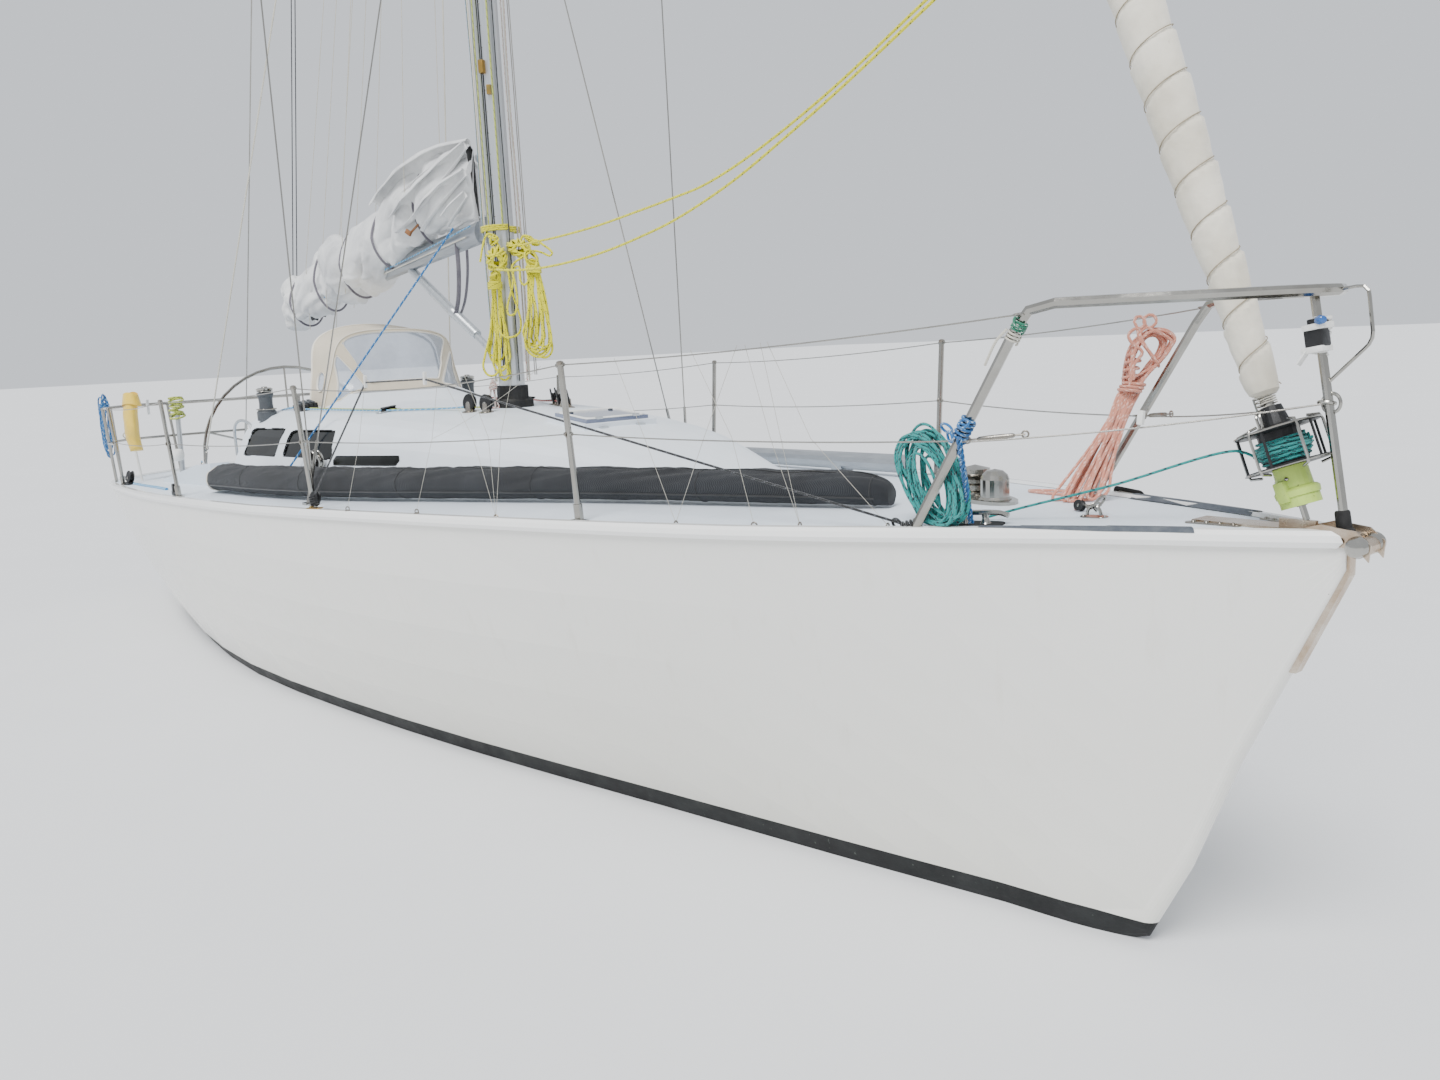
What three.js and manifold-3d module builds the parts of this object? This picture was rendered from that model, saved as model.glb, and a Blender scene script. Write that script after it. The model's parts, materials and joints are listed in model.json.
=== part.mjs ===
// A sloop rigged sailing yacht of ten metres, afloat, with her sails stowed.
// Millimetres. +X points forward, +Y to port, +Z up. The origin is on the waterline, amidships.
import * as THREE from "three";
import { mergeVertices } from "three/addons/utils/BufferGeometryUtils.js";
import Module from "manifold-3d";

const wasm = await Module();
wasm.setup();

// Driving dimensions. A place along the boat is its distance aft of the stem head.
const bowX = 5000;
const boatLength = 10000;
const seat = 0.3; // between pieces that touch
const paintLine = 80; // top of the dark bottom paint, above the water
const deckPlate = 28;
const deckCrown = 0.045; // rise of the deck's middle, as a share of the half beam
const transomCorner = 9862; // the transom is round in plan, with its corners forward of its middle
const roofWall = 35;
const mastAft = 4575;
const mastSize = { length: 190, width: 132 };
const mastTop = 13200;
const pinAft = 4745; // gooseneck pin
const pinRadius = 10;
const lowerSpreaderZ = 6000;
const upperSpreaderZ = 9700;
const wheel = { aft: 8460, z: 1240, radius: 700, rim: 12.5 };
const rudderStock = { aft: 8950, radius: 25, topZ: 350 };
const shaft = { aft: 7332, z: -860 }; // middle of the propeller's hub
const stayFoot = { aft: 130, z: 1470 };
const stayHead = { aft: 4430, z: 13080 };
const chainplate = { aft: 4550, half: 1200 };

// Columns: aft, half beam at the sheer, height of the sheer, half beam and height of the turn, keel line
const hullStations = [
  [0, 28, 1405, 26, 1335, 1300],
  [280, 168, 1400, 46, 760, 680],
  [560, 285, 1393, 44, 130, 20],
  [1050, 500, 1375, 142, 80, -110],
  [1700, 752, 1350, 300, 80, -220],
  [2600, 1005, 1322, 510, 80, -330],
  [3800, 1240, 1278, 790, 80, -430],
  [5000, 1385, 1225, 1010, 80, -470],
  [6200, 1445, 1180, 1150, 80, -450],
  [7400, 1420, 1125, 1120, 80, -330],
  [8600, 1330, 1078, 960, 80, -110],
  [9300, 1240, 1045, 830, 200, 60],
  [10000, 1080, 1012, 780, 560, 420],
];
// Columns: aft, half width at the deck, half width and height of the shoulder, height of the middle
const roofStations = [
  [2350, 330, 150, 1392, 1400],
  [2700, 470, 300, 1435, 1462],
  [3200, 640, 470, 1520, 1562],
  [3800, 800, 620, 1572, 1630],
  [4600, 930, 730, 1605, 1680],
  [5400, 1000, 780, 1625, 1700],
  [6780, 1035, 800, 1635, 1700],
];
const roofBack = 6780;
const roofRake = 90; // how far the foot of the aft wall stands aft of its head

const colours = {
  gelcoat: [0xe9e7df, 0.25, 0],
  bottomPaint: [0x16181b, 0.7, 0],
  deckPaint: [0xdfe7ee, 0.6, 0],
  steel: [0xb9b6ae, 0.25, 1],
  alloy: [0xb6bcc2, 0.35, 1],
  plexiglass: [0x1d2420, 0.08, 0],
  sailcloth: [0xd9d9d6, 0.8, 0],
  canvas: [0x44484f, 0.9, 0],
  hoodCloth: [0xe3dccb, 0.85, 0],
  darkPlastic: [0x22252a, 0.5, 0],
  teak: [0x7a5433, 0.7, 0],
  castIron: [0x4a4f4c, 0.6, 0.5],
  bronze: [0xa47c3f, 0.4, 1],
  yellowRope: [0xd9d42a, 0.9, 0],
  pinkRope: [0xc98f80, 0.9, 0],
  tealRope: [0x2aa39a, 0.9, 0],
  limeAlloy: [0xb5cf5f, 0.5, 0],
};

// Shape helpers
const at = (aft, y, z) => new THREE.Vector3(bowX - aft, y, z);
const smooth = (from, to, v) => THREE.MathUtils.smoothstep(v, from, to);

function solidOf(geometry) {
  const plain = geometry.index ? geometry.toNonIndexed() : geometry.clone();
  plain.deleteAttribute("normal");
  plain.deleteAttribute("uv");
  const merged = mergeVertices(plain, 1e-3);
  const triVerts = new Uint32Array(merged.index.array);
  const mesh = { numProp: 3, vertProperties: merged.attributes.position.array, triVerts };
  const solid = new wasm.Manifold(new wasm.Mesh(mesh));
  if (solid.volume() > 0) return solid;
  for (let i = 0; i < triVerts.length; i += 3) {
    [triVerts[i + 1], triVerts[i + 2]] = [triVerts[i + 2], triVerts[i + 1]];
  }
  return new wasm.Manifold(new wasm.Mesh(mesh));
}

function geometryOf(solid) {
  const mesh = solid.getMesh();
  const geometry = new THREE.BufferGeometry();
  geometry.setAttribute("position", new THREE.BufferAttribute(mesh.vertProperties, mesh.numProp));
  geometry.setIndex(new THREE.BufferAttribute(mesh.triVerts, 1));
  geometry.computeVertexNormals();
  return geometry;
}

// Closed rings of points, all of one count, skinned in order and closed by a fan at each end
function loft(rings) {
  const count = rings[0].length;
  const points = rings.flat();
  const triangles = [];
  const ringStart = (k) => k * count;
  for (let k = 0; k + 1 < rings.length; k++) {
    for (let i = 0; i < count; i++) {
      const j = (i + 1) % count;
      const [a, b] = [ringStart(k) + i, ringStart(k) + j];
      triangles.push(a, b, b + count, a, b + count, a + count);
    }
  }
  for (const [k, turn] of [[0, 1], [rings.length - 1, 0]]) {
    const middle = new THREE.Vector3();
    rings[k].forEach((p) => middle.addScaledVector(p, 1 / count));
    points.push(middle);
    for (let i = 0; i < count; i++) {
      const pair = [ringStart(k) + i, ringStart(k) + ((i + 1) % count)];
      if (turn) pair.reverse();
      triangles.push(...pair, points.length - 1);
    }
  }
  const geometry = new THREE.BufferGeometry().setFromPoints(points);
  geometry.setIndex(triangles);
  return solidOf(geometry);
}

// A wall between two grids of points with the same rows and columns
function wallBetween(outer, inner) {
  const rings = outer.map((row, k) => [...row, ...inner[k].slice().reverse()]);
  return loft(rings);
}

function box(aft, y, z) {
  const geometry = new THREE.BoxGeometry(aft[1] - aft[0], y[1] - y[0], z[1] - z[0]);
  geometry.translate(bowX - (aft[0] + aft[1]) / 2, (y[0] + y[1]) / 2, (z[0] + z[1]) / 2);
  return solidOf(geometry);
}

// A straight round bar, or a cone if the second radius differs
function rod(from, to, radius, sides = 10, endRadius = radius) {
  const length = from.distanceTo(to);
  const geometry = new THREE.CylinderGeometry(endRadius, radius, length, sides);
  const up = new THREE.Vector3(0, 1, 0);
  const turn = new THREE.Quaternion().setFromUnitVectors(up, to.clone().sub(from).normalize());
  geometry.applyQuaternion(turn);
  const middle = from.clone().add(to).multiplyScalar(0.5);
  geometry.translate(middle.x, middle.y, middle.z);
  return solidOf(geometry);
}

// A tube whose path is straight between its points, with each corner rounded off
function bentPath(points, bend) {
  const path = new THREE.CurvePath();
  let from = points[0];
  for (let i = 1; i + 1 < points.length; i++) {
    const toward = (p) => {
      const reach = Math.min(bend, points[i].distanceTo(p) * 0.45);
      return points[i].clone().add(p.clone().sub(points[i]).setLength(reach));
    };
    const [start, end] = [toward(points[i - 1]), toward(points[i + 1])];
    path.add(new THREE.LineCurve3(from, start));
    path.add(new THREE.QuadraticBezierCurve3(start, points[i], end));
    from = end;
  }
  path.add(new THREE.LineCurve3(from, points[points.length - 1]));
  return path;
}

function ringShape(radius, sides, squash = 1) {
  const shape = new THREE.Shape();
  for (let i = 0; i < sides; i++) {
    const a = (i / sides) * 2 * Math.PI;
    const p = [radius * Math.cos(a) * squash, radius * Math.sin(a)];
    if (i) shape.lineTo(...p);
    else shape.moveTo(...p);
  }
  return shape;
}

function tube(path, radius, steps, sides = 8, squash = 1) {
  const options = { steps, extrudePath: path, bevelEnabled: false };
  return solidOf(new THREE.ExtrudeGeometry(ringShape(radius, sides, squash), options));
}

// An outline in the plane along the boat, given as [aft, z], run from one y to another
function sidePlate(outline, y) {
  const shape = new THREE.Shape(outline.map(([aft, z]) => new THREE.Vector2(bowX - aft, z)));
  const geometry = new THREE.ExtrudeGeometry(shape, { depth: y[1] - y[0], bevelEnabled: false });
  geometry.rotateX(Math.PI / 2);
  geometry.scale(1, -1, 1);
  geometry.index = null;
  geometry.translate(0, y[0], 0);
  return solidOf(geometry);
}

// An outline seen from above, given as [aft, y], run from one height to another
function planPlate(outline, z) {
  const shape = new THREE.Shape(outline.map(([aft, y]) => new THREE.Vector2(bowX - aft, y)));
  const geometry = new THREE.ExtrudeGeometry(shape, { depth: z[1] - z[0], bevelEnabled: false });
  geometry.translate(0, 0, z[0]);
  return solidOf(geometry);
}

// A turned piece: profile of [radius, height along the axis], set on a point and an axis
function turned(profile, origin, axis, sides = 20) {
  const points = profile.map(([r, h]) => new THREE.Vector2(r, h));
  const geometry = new THREE.LatheGeometry(points, sides);
  const up = new THREE.Vector3(0, 1, 0);
  geometry.applyQuaternion(new THREE.Quaternion().setFromUnitVectors(up, axis.clone().normalize()));
  geometry.translate(origin.x, origin.y, origin.z);
  return solidOf(geometry);
}

const upward = new THREE.Vector3(0, 0, 1);
const union = (solids) => solids.reduce((a, b) => a.add(b));
const moved = (solid, x, y, z) => solid.translate([x, y, z]);

// Values of a table at one place, on a smooth curve through its rows
function rowAt(table, aft) {
  const last = table.length - 1;
  let i = 0;
  while (i < last - 1 && aft > table[i + 1][0]) i++;
  const [a, b] = [table[i], table[i + 1]];
  const [before, after] = [table[Math.max(i - 1, 0)], table[Math.min(i + 2, last)]];
  const step = b[0] - a[0];
  const t = (aft - a[0]) / step;
  const curve = [2 * t ** 3 - 3 * t ** 2 + 1, t ** 3 - 2 * t ** 2 + t, 3 * t ** 2 - 2 * t ** 3,
    t ** 3 - t ** 2];
  return a.map((from, c) => {
    const slopeA = (b[c] - before[c]) / (b[0] - before[0]);
    const slopeB = (after[c] - from) / (after[0] - a[0]);
    return curve[0] * from + curve[1] * slopeA * step + curve[2] * b[c] + curve[3] * slopeB * step;
  });
}

const sheerAt = (aft) => rowAt(hullStations, aft);

function deckZ(aft, y, lift = 0) {
  const [, half, sheer] = sheerAt(aft);
  return sheer + deckCrown * half * (1 - (y / half) ** 2) + lift;
}

// The transom's place at a share of its half width
function transomAt(share) {
  const back = boatLength - 2;
  return [back - (back - transomCorner) * share ** 2, share * sheerAt(transomCorner)[1]];
}

// One half of a hull section from the sheer down to the keel line, as [y, z]
function halfSection(aft, top) {
  const [, sheerHalf, , turnHalf, turnZ, keelZ] = sheerAt(aft);
  const flare = 0.5 - 0.33 * smooth(500, 4200, aft);
  const topsides = new THREE.QuadraticBezierCurve(
    new THREE.Vector2(sheerHalf, top),
    new THREE.Vector2(sheerHalf - flare * (sheerHalf - turnHalf), turnZ + 0.45 * (top - turnZ)),
    new THREE.Vector2(turnHalf, turnZ),
  );
  const bilge = new THREE.CubicBezierCurve(
    new THREE.Vector2(turnHalf, turnZ),
    new THREE.Vector2(0.93 * turnHalf, turnZ + 0.55 * (keelZ - turnZ)),
    new THREE.Vector2(0.5 * turnHalf, keelZ + 0.06 * (turnZ - keelZ)),
    new THREE.Vector2(0, keelZ),
  );
  return [...topsides.getPoints(5), ...bilge.getPoints(6).slice(1)].map((p) => [p.x, p.y]);
}

const crownSteps = [0.75, 0.5, 0.25, 0, -0.25, -0.5, -0.75];
const hullPlaces = hullStations.flatMap(([aft], i) => {
  const next = hullStations[i + 1];
  if (!next) return [transomCorner, aft];
  return [0, 0.5].map((t) => aft + t * (next[0] - aft));
});

function hullRing(aft) {
  const [, half, sheer] = sheerAt(aft);
  const drop = -deckPlate - seat;
  const side = halfSection(aft, sheer + drop);
  const place = ([y, z]) => at(aft, y, z);
  const port = side.map(place);
  const starboard = side.slice(0, -1).reverse().map(([y, z]) => place([-y, z]));
  const across = crownSteps.map((t) => place([-t * half, deckZ(aft, t * half, drop)]));
  return [...port, ...starboard, ...across];
}

// A slab that follows the deck: its top is the deck's top plus a lift. The spread widens it all round.
function deckSlab(lift, thickness, spread = 0) {
  const steps = [1, ...crownSteps, -1];
  const rings = hullPlaces.map((aft) => {
    const half = sheerAt(aft)[1];
    const line = (drop) => {
      const points = steps.map((t) => at(aft, t * half, deckZ(aft, t * half, drop)));
      if (!spread) return points;
      const beyond = [points[0], points[points.length - 1]].map((p) => p.clone());
      beyond.forEach((p) => (p.y += Math.sign(p.y) * spread));
      return [beyond[0], ...points, beyond[1]];
    };
    return [...line(lift), ...line(lift - thickness).reverse()];
  });
  if (spread) {
    for (const [k, shift] of [[0, spread], [rings.length - 1, -spread]]) {
      rings[k].forEach((p) => (p.x += shift));
    }
  }
  return loft(rings);
}

// The roof's outer form, or with a wall the form inside it
function roofForm(wall, places) {
  const rings = places.map((aft) => {
    const [, base, shoulder, shoulderZ, topZ] = rowAt(roofStations, aft);
    const footZ = sheerAt(aft)[2] - 80;
    const corner = [shoulder - wall, shoulderZ - wall];
    const foot = [base - wall, footZ];
    const round = new THREE.QuadraticBezierCurve(
      new THREE.Vector2(corner[0] + (foot[0] - corner[0]) * 0.22, corner[1] + (foot[1] - corner[1]) * 0.22),
      new THREE.Vector2(...corner),
      new THREE.Vector2(corner[0] * 0.8, corner[1] + (topZ - shoulderZ) * 0.36),
    ).getPoints(3).map((p) => [p.x, p.y]);
    const rise = topZ - shoulderZ;
    const top = [0.5, 0.25, 0].map((t) => [corner[0] * t, corner[1] + rise * (1 - t ** 2)]);
    const half = [foot, ...round, ...top];
    const ring = [...half, ...half.slice(0, -1).reverse().map(([y, z]) => [-y, z])];
    const last = aft === roofBack;
    return ring.map(([y, z]) => {
      const back = last ? roofRake * (1 - (z - footZ) / (topZ - footZ)) - wall : 0;
      return new THREE.Vector3(bowX - aft - back, y, z);
    });
  });
  return loft(rings);
}

const roofPlaces = [2350, 2520, 2700, 2950, 3200, 3500, 3800, 4200, 4600, 5000, 5400, 6100, roofBack];

function roofZ(aft, y = 0) {
  const [, , shoulder, shoulderZ, topZ] = rowAt(roofStations, aft);
  return shoulderZ + (topZ - shoulderZ) * (1 - (y / shoulder) ** 2);
}

// Whole forms that the pieces below are cut from
const sternShares = [1.3, 1, 0.75, 0.5, 0.25, 0, -0.25, -0.5, -0.75, -1, -1.3];
const sternCut = planPlate([...sternShares.map(transomAt), [11000, -1500], [11000, 1500]], [-2000, 3000]);
const hullForm = loft(hullPlaces.map(hullRing)).subtract(sternCut);
const deckForm = deckSlab(0, deckPlate).subtract(sternCut);
const underDeck = deckSlab(seat, 1500, 300);
const bow = deckForm.add(hullForm).intersect(box([-200, 700], [-400, 400], [700, 1600]));
const grownBow = union([[1, 1], [1, -1], [-1, 1], [-1, -1]].map(
  ([b, c]) => moved(bow, seat * 1.4, b * seat, c * seat)));
const roofOuter = roofForm(0, roofPlaces);
const roofInner = roofForm(roofWall, roofPlaces.slice(3));
const roofGrown = union([-seat, 0, seat].map((y) => moved(roofOuter, 0, y, seat)));

// Rooms below the deck, the cockpit's block, and the bore of the rudder's stock
const well = { front: 6910, seats: 8170, back: 9130, soleZ: 420, seatZ: 860 };
const wellHalf = { seats: 950, foot: 340, helm: 830 };
const tubWall = 28;

function cockpitBlock(grow) {
  const wall = tubWall + grow;
  const front = well.front - wall;
  const [seats, foot, helm] = [wellHalf.seats + wall, wellHalf.foot + wall, wellHalf.helm + wall];
  return box([front, well.seats + wall], [-seats, seats], [well.seatZ - wall, 2000])
    .add(box([front, well.seats + wall], [-foot, foot], [well.soleZ - wall, 2000]))
    .add(box([well.seats - wall, well.back + wall], [-helm, helm], [well.soleZ - wall, 2000]));
}

const berths = planPlate(
  [[3050, -420], [3050, 420], [4200, 780], [5200, 880], [6620, 900], [6620, -900], [5200, -880],
  [4200, -780]],
  [380, 1230],
);
const sole = box([4100, 6620], [-400, 400], [-150, 400]);
const cabinRoom = berths.add(sole);
const stockBore = rod(at(rudderStock.aft, 0, -400), at(rudderStock.aft, 0, 700),
  rudderStock.radius + 0.8, 24);

function topsides() {
  const above = box([-500, boatLength + 500], [-2000, 2000], [paintLine + seat, 3000]);
  return hullForm.intersect(above).subtract(cabinRoom).subtract(cockpitBlock(seat)).subtract(stockBore)
    .subtract(roofInner);
}

function bottom() {
  const below = box([-500, boatLength + 500], [-2000, 2000], [-2000, paintLine]);
  return hullForm.intersect(below).subtract(cabinRoom).subtract(stockBore);
}

function deck() {
  return deckForm.subtract(roofInner).subtract(cockpitBlock(seat));
}

// The bright rounded band where deck and topsides meet, run right round the boat
function gunwaleForm(grow) {
  const side = hullPlaces.filter((aft) => aft < boatLength).map((aft) => {
    const [, half, sheer] = sheerAt(aft);
    return at(aft, half, sheer);
  });
  const stern = sternShares.slice(2, 6).map(transomAt).map(([aft, y]) => at(aft, y, deckZ(aft, y)));
  const mirrored = [...side, ...stern.slice(0, 3)].reverse().map((p) => new THREE.Vector3(p.x, -p.y, p.z));
  const path = [...side, ...stern, ...mirrored];
  const profile = [[0.8, -31], [12, -30], [19 + grow, -14], [15 + grow, 4], [4, 16 + grow],
    [-24 - grow, 17 + grow],
    [-26 - grow, 3.8], [0.8, 1.3]];
  const rings = path.map((p, i) => {
    const a = path[(i + path.length - 1) % path.length];
    const b = path[(i + 1) % path.length];
    const out = new THREE.Vector2(b.y - a.y, a.x - b.x).normalize();
    return profile.map(([reach, rise]) => {
      return new THREE.Vector3(p.x + out.x * reach, p.y + out.y * reach, p.z + rise);
    });
  });
  const count = profile.length;
  const triangles = [];
  rings.forEach((ring, k) => {
    const next = ((k + 1) % rings.length) * count;
    for (let i = 0; i < count; i++) {
      const j = (i + 1) % count;
      triangles.push(k * count + i, k * count + j, next + j, k * count + i, next + j, next + i);
    }
  });
  const geometry = new THREE.BufferGeometry().setFromPoints(rings.flat());
  geometry.setIndex(triangles);
  return solidOf(geometry);
}

const gunwale = () => gunwaleForm(0).subtract(box([-100, 470], [-48 - seat, 48 + seat], [1300, 1600]));
const onDeck = (solid) => solid.subtract(underDeck).subtract(grownGunwale);

const grownGunwale = gunwaleForm(seat * 1.5);

// Windows: outline as [aft, z]
const windows = {
  mid_window: [[5189, 1424], [5295, 1580], [5948, 1561], [5948, 1404]],
  aft_window: [[6085, 1397], [6075, 1569], [6668, 1553], [6705, 1381]],
};

// A convex outline with each of its edges moved inward
function shrunk(outline, by) {
  const count = outline.length;
  const middle = new THREE.Vector2();
  outline.forEach(([a, z]) => middle.add(new THREE.Vector2(a / count, z / count)));
  const edges = outline.map(([a, z], i) => {
    const start = new THREE.Vector2(a, z);
    const along = new THREE.Vector2(...outline[(i + 1) % count]).sub(start).normalize();
    const inward = new THREE.Vector2(-along.y, along.x);
    if (inward.dot(middle.clone().sub(start)) < 0) inward.negate();
    return { start: start.addScaledVector(inward, by), along };
  });
  return edges.map((edge, i) => {
    const before = edges[(i + count - 1) % count];
    const reach = edge.start.clone().sub(before.start);
    const t = reach.cross(edge.along) / before.along.cross(edge.along);
    return before.start.clone().addScaledVector(before.along, t).toArray();
  });
}

// Half sizes of the fore hatch, along and across the boat
const hatchBase = { aft: 3660, frame: [180, 215], opening: [130, 165], lid: [150, 185], rise: 18,
  lidDepth: 18 };
const companionway = { front: 6385, back: 6750, half: 325, sillZ: 1240 }; // back is at the roof's level
const garage = { front: 6045, half: 385, height: 60 }; // the raised box that the sliding hatch opens into
const hatchRail = { height: 30, width: 50 };
const roofFoot = sheerAt(roofBack)[2] - 80;
const aftWall = (z) => roofBack + (roofRake * (roofZ(roofBack) - z)) / (roofZ(roofBack) - roofFoot);
const roofTop = roofZ(roofBack);

// The garage's block flares out toward the roof: corners of its foot and of its top as [aft, half width]
function garageBlock(grow) {
  const ring = (corners, z) => {
    const port = corners.map(([aft, half]) => at(aft - grow, half + grow, z));
    return [...port, ...port.slice().reverse().map((p) => new THREE.Vector3(p.x, -p.y, p.z))];
  };
  const back = companionway.front + 2 * grow;
  const foot = ring([[5600, 330], [5660, 470], [5760, 545], [back, 545]], roofTop - 60);
  const top = ring([[5990, 290], [6000, 340], [6040, garage.half], [back, garage.half]],
    roofTop + garage.height + grow);
  return loft([foot, top]);
}

// A plate that follows the roof's slope at the fore hatch, its middle at a height above the roof
function onHatch(size, rise) {
  const slope = (roofZ(hatchBase.aft + 200) - roofZ(hatchBase.aft - 200)) / 400;
  const geometry = new THREE.BoxGeometry(size[0], size[1], size[2]);
  geometry.translate(0, 0, rise);
  geometry.rotateY(Math.atan(slope));
  geometry.translate(bowX - hatchBase.aft, 0, roofZ(hatchBase.aft));
  return solidOf(geometry);
}

function coachroof() {
  const h = hatchBase;
  const hatchHole = onHatch([2 * h.opening[0], 2 * h.opening[1], 400], 0);
  const frame = onHatch([2 * h.frame[0], 2 * h.frame[1], 40], h.rise - 20).subtract(hatchHole);
  const slot = box([garage.front, 7000], [-garage.half + 30, garage.half - 30],
    [roofTop + 6, roofTop + garage.height - 12]);
  const railInside = garage.half - hatchRail.width;
  const rails = box([garage.front - 5, roofBack - 5], [-garage.half, garage.half],
    [roofTop - 60, roofTop + hatchRail.height])
    .subtract(box([5000, 7000], [-railInside, railInside], [1000, 2000]));
  const across = [-companionway.half, companionway.half];
  const hole = box([companionway.front, companionway.back], across, [1400, 1900]);
  const doorway = box([companionway.back - 200, 7100], across, [companionway.sillZ, 1900]);
  const block = garageBlock(0).subtract(roofInner);
  let roof = roofOuter.subtract(roofInner).subtract(hatchHole).add(frame);
  roof = roof.add(block).subtract(slot).add(rails.subtract(roofInner)).subtract(hole).subtract(doorway);
  for (const outline of Object.values(windows)) {
    for (const side of [[500, 1200], [-1200, -500]]) roof = roof.subtract(sidePlate(outline, side));
  }
  return roof.subtract(underDeck);
}

function pane(outline, side) {
  const skin = roofForm(4, roofPlaces).subtract(roofForm(14, roofPlaces));
  const reach = side > 0 ? [500, 1200] : [-1200, -500];
  return skin.intersect(sidePlate(shrunk(outline, seat * 2), reach));
}

function foreHatch() {
  const h = hatchBase;
  return onHatch([2 * h.lid[0], 2 * h.lid[1], h.lidDepth], h.rise + h.lidDepth / 2 + seat);
}

// The sliding hatch lies on its rails over the companionway, and opens forward into the garage
const slideHatch = { front: 6397, back: 6800, half: 350, depth: 12 };
function companionHatch() {
  const rest = roofTop + hatchRail.height + seat;
  const { front, back, half, depth } = slideHatch;
  const plate = box([front, back], [-half, half], [rest, rest + depth]);
  const grip = box([back - 40, back - 12], [-180, 180], [rest + depth - 2, rest + depth + 24]);
  return plate.add(grip);
}

function washboards() {
  const [low, high] = [companionway.sillZ + seat, roofTop + 22];
  const corners = [[low, 28], [low, 6], [high, 6], [high, 28]];
  const outline = corners.map(([z, inward]) => [aftWall(z) - inward, z]);
  return sidePlate(outline, [-companionway.half + seat, companionway.half - seat]);
}

function cockpit() {
  const inner = box([well.front, well.seats], [-wellHalf.seats, wellHalf.seats], [well.seatZ, 2000])
    .add(box([well.front, well.seats + 5], [-wellHalf.foot, wellHalf.foot], [well.soleZ, 2000]))
    .add(box([well.seats, well.back], [-wellHalf.helm, wellHalf.helm], [well.soleZ, 2000]));
  const flush = cockpitBlock(0).intersect(deckSlab(0, 1500)).subtract(inner);
  const outline = [[6890, 1100], [6890, 1330], [7250, 1300], [8230, 1135], [8230, 1000]];
  const coamings = [1, -1].map((side) => {
    const span = side > 0 ? [wellHalf.seats, 1075] : [-1075, -wellHalf.seats];
    const wall = sidePlate(outline, span);
    const reach = [well.front - tubWall, well.seats + tubWall];
    const inside = box(reach, [-wellHalf.seats - tubWall, wellHalf.seats + tubWall], [0, 2000]);
    return wall.subtract(underDeck).add(wall.intersect(inside).intersect(deckSlab(20, 120)));
  });
  const bore = rod(at(rudderStock.aft, 0, 0), at(rudderStock.aft, 0, 400), rudderStock.radius + 3, 24);
  return union([flush, ...coamings]).subtract(bore);
}

// Below the water
function foilRing(aftLead, chord, z, thickness) {
  const stations = [0, 0.04, 0.15, 0.35, 0.6, 0.85, 1];
  const fat = [0, 0.42, 0.82, 1, 0.78, 0.34, 0.03];
  const side = stations.map((t, i) => [aftLead + t * chord, (fat[i] * thickness) / 2]);
  return [
    ...side.map(([aft, y]) => at(aft, y, z)),
    ...side.slice(1).reverse().map(([aft, y]) => at(aft, -y, z)),
  ];
}

function keel() {
  const fin = loft([
    foilRing(4350, 1650, -250, 170),
    foilRing(4400, 1560, -600, 160),
    foilRing(4620, 1280, -1600, 150),
    foilRing(4600, 1320, -1830, 230),
  ]);
  return fin.subtract(hullForm).subtract(moved(hullForm, 0, 0, -seat));
}

function rudder() {
  const blade = loft([
    foilRing(8760, 520, -150, 62),
    foilRing(8770, 500, -700, 56),
    foilRing(8820, 380, -1420, 40),
  ]);
  const stock = rod(at(rudderStock.aft, 0, -900), at(rudderStock.aft, 0, rudderStock.topZ),
    rudderStock.radius, 24);
  return blade.add(stock);
}

const podEnd = 7290;

function saildrive() {
  const leg = loft([foilRing(7030, 300, -300, 110), foilRing(7050, 210, -740, 80),
    foilRing(7040, 210, -880, 84)]);
  const pod = [[0, 0], [30, 15], [52, 80], [55, 240], [38, 330], [0, 330]];
  const housing = turned(pod, at(podEnd - 330, 0, shaft.z), new THREE.Vector3(-1, 0, 0), 16);
  return leg.add(housing).subtract(hullForm).subtract(moved(hullForm, 0, 0, -seat));
}

function propeller() {
  const hubFrom = at(podEnd + seat, 0, shaft.z);
  const hub = turned([[0, 0], [36, 0], [36, 70], [14, 105], [0, 105]], hubFrom,
    new THREE.Vector3(-1, 0, 0), 16);
  const blades = [0, 1].map((i) => {
    const pitch = 0.6;
    const ring = (radius, chord, twist) => [[-1, -1], [1, -1], [1, 1], [-1, 1]].map(([a, b]) => {
      const [c, t] = [(a * chord) / 2, b * 5];
      const [u, v] = [c * Math.cos(twist) - t * Math.sin(twist), c * Math.sin(twist) + t * Math.cos(twist)];
      return new THREE.Vector3(v, u, radius);
    });
    const blade = loft([ring(20, 50, pitch), ring(110, 95, pitch * 0.8), ring(205, 50, pitch * 0.5)]);
    return moved(blade.rotate([180 * i, 0, 0]), bowX - shaft.aft + 4, 0, shaft.z);
  });
  return union([hub, ...blades]);
}

const engineBlock = () => box([5960, 6610], [-240, 240], [-150 + seat, 380]);

// Steering
const pedestalAft = 8300;
function pedestal() {
  const foot = at(pedestalAft, 0, well.soleZ + seat);
  const post = turned([[0, 0], [150, 0], [140, 30], [75, 90], [62, 720], [95, 800], [95, 930],
    [60, 985], [0, 985]], foot, upward);
  const boss = rod(at(pedestalAft, 0, wheel.z), at(wheel.aft - 40 - seat, 0, wheel.z), 42, 16);
  return post.add(boss);
}

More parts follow.
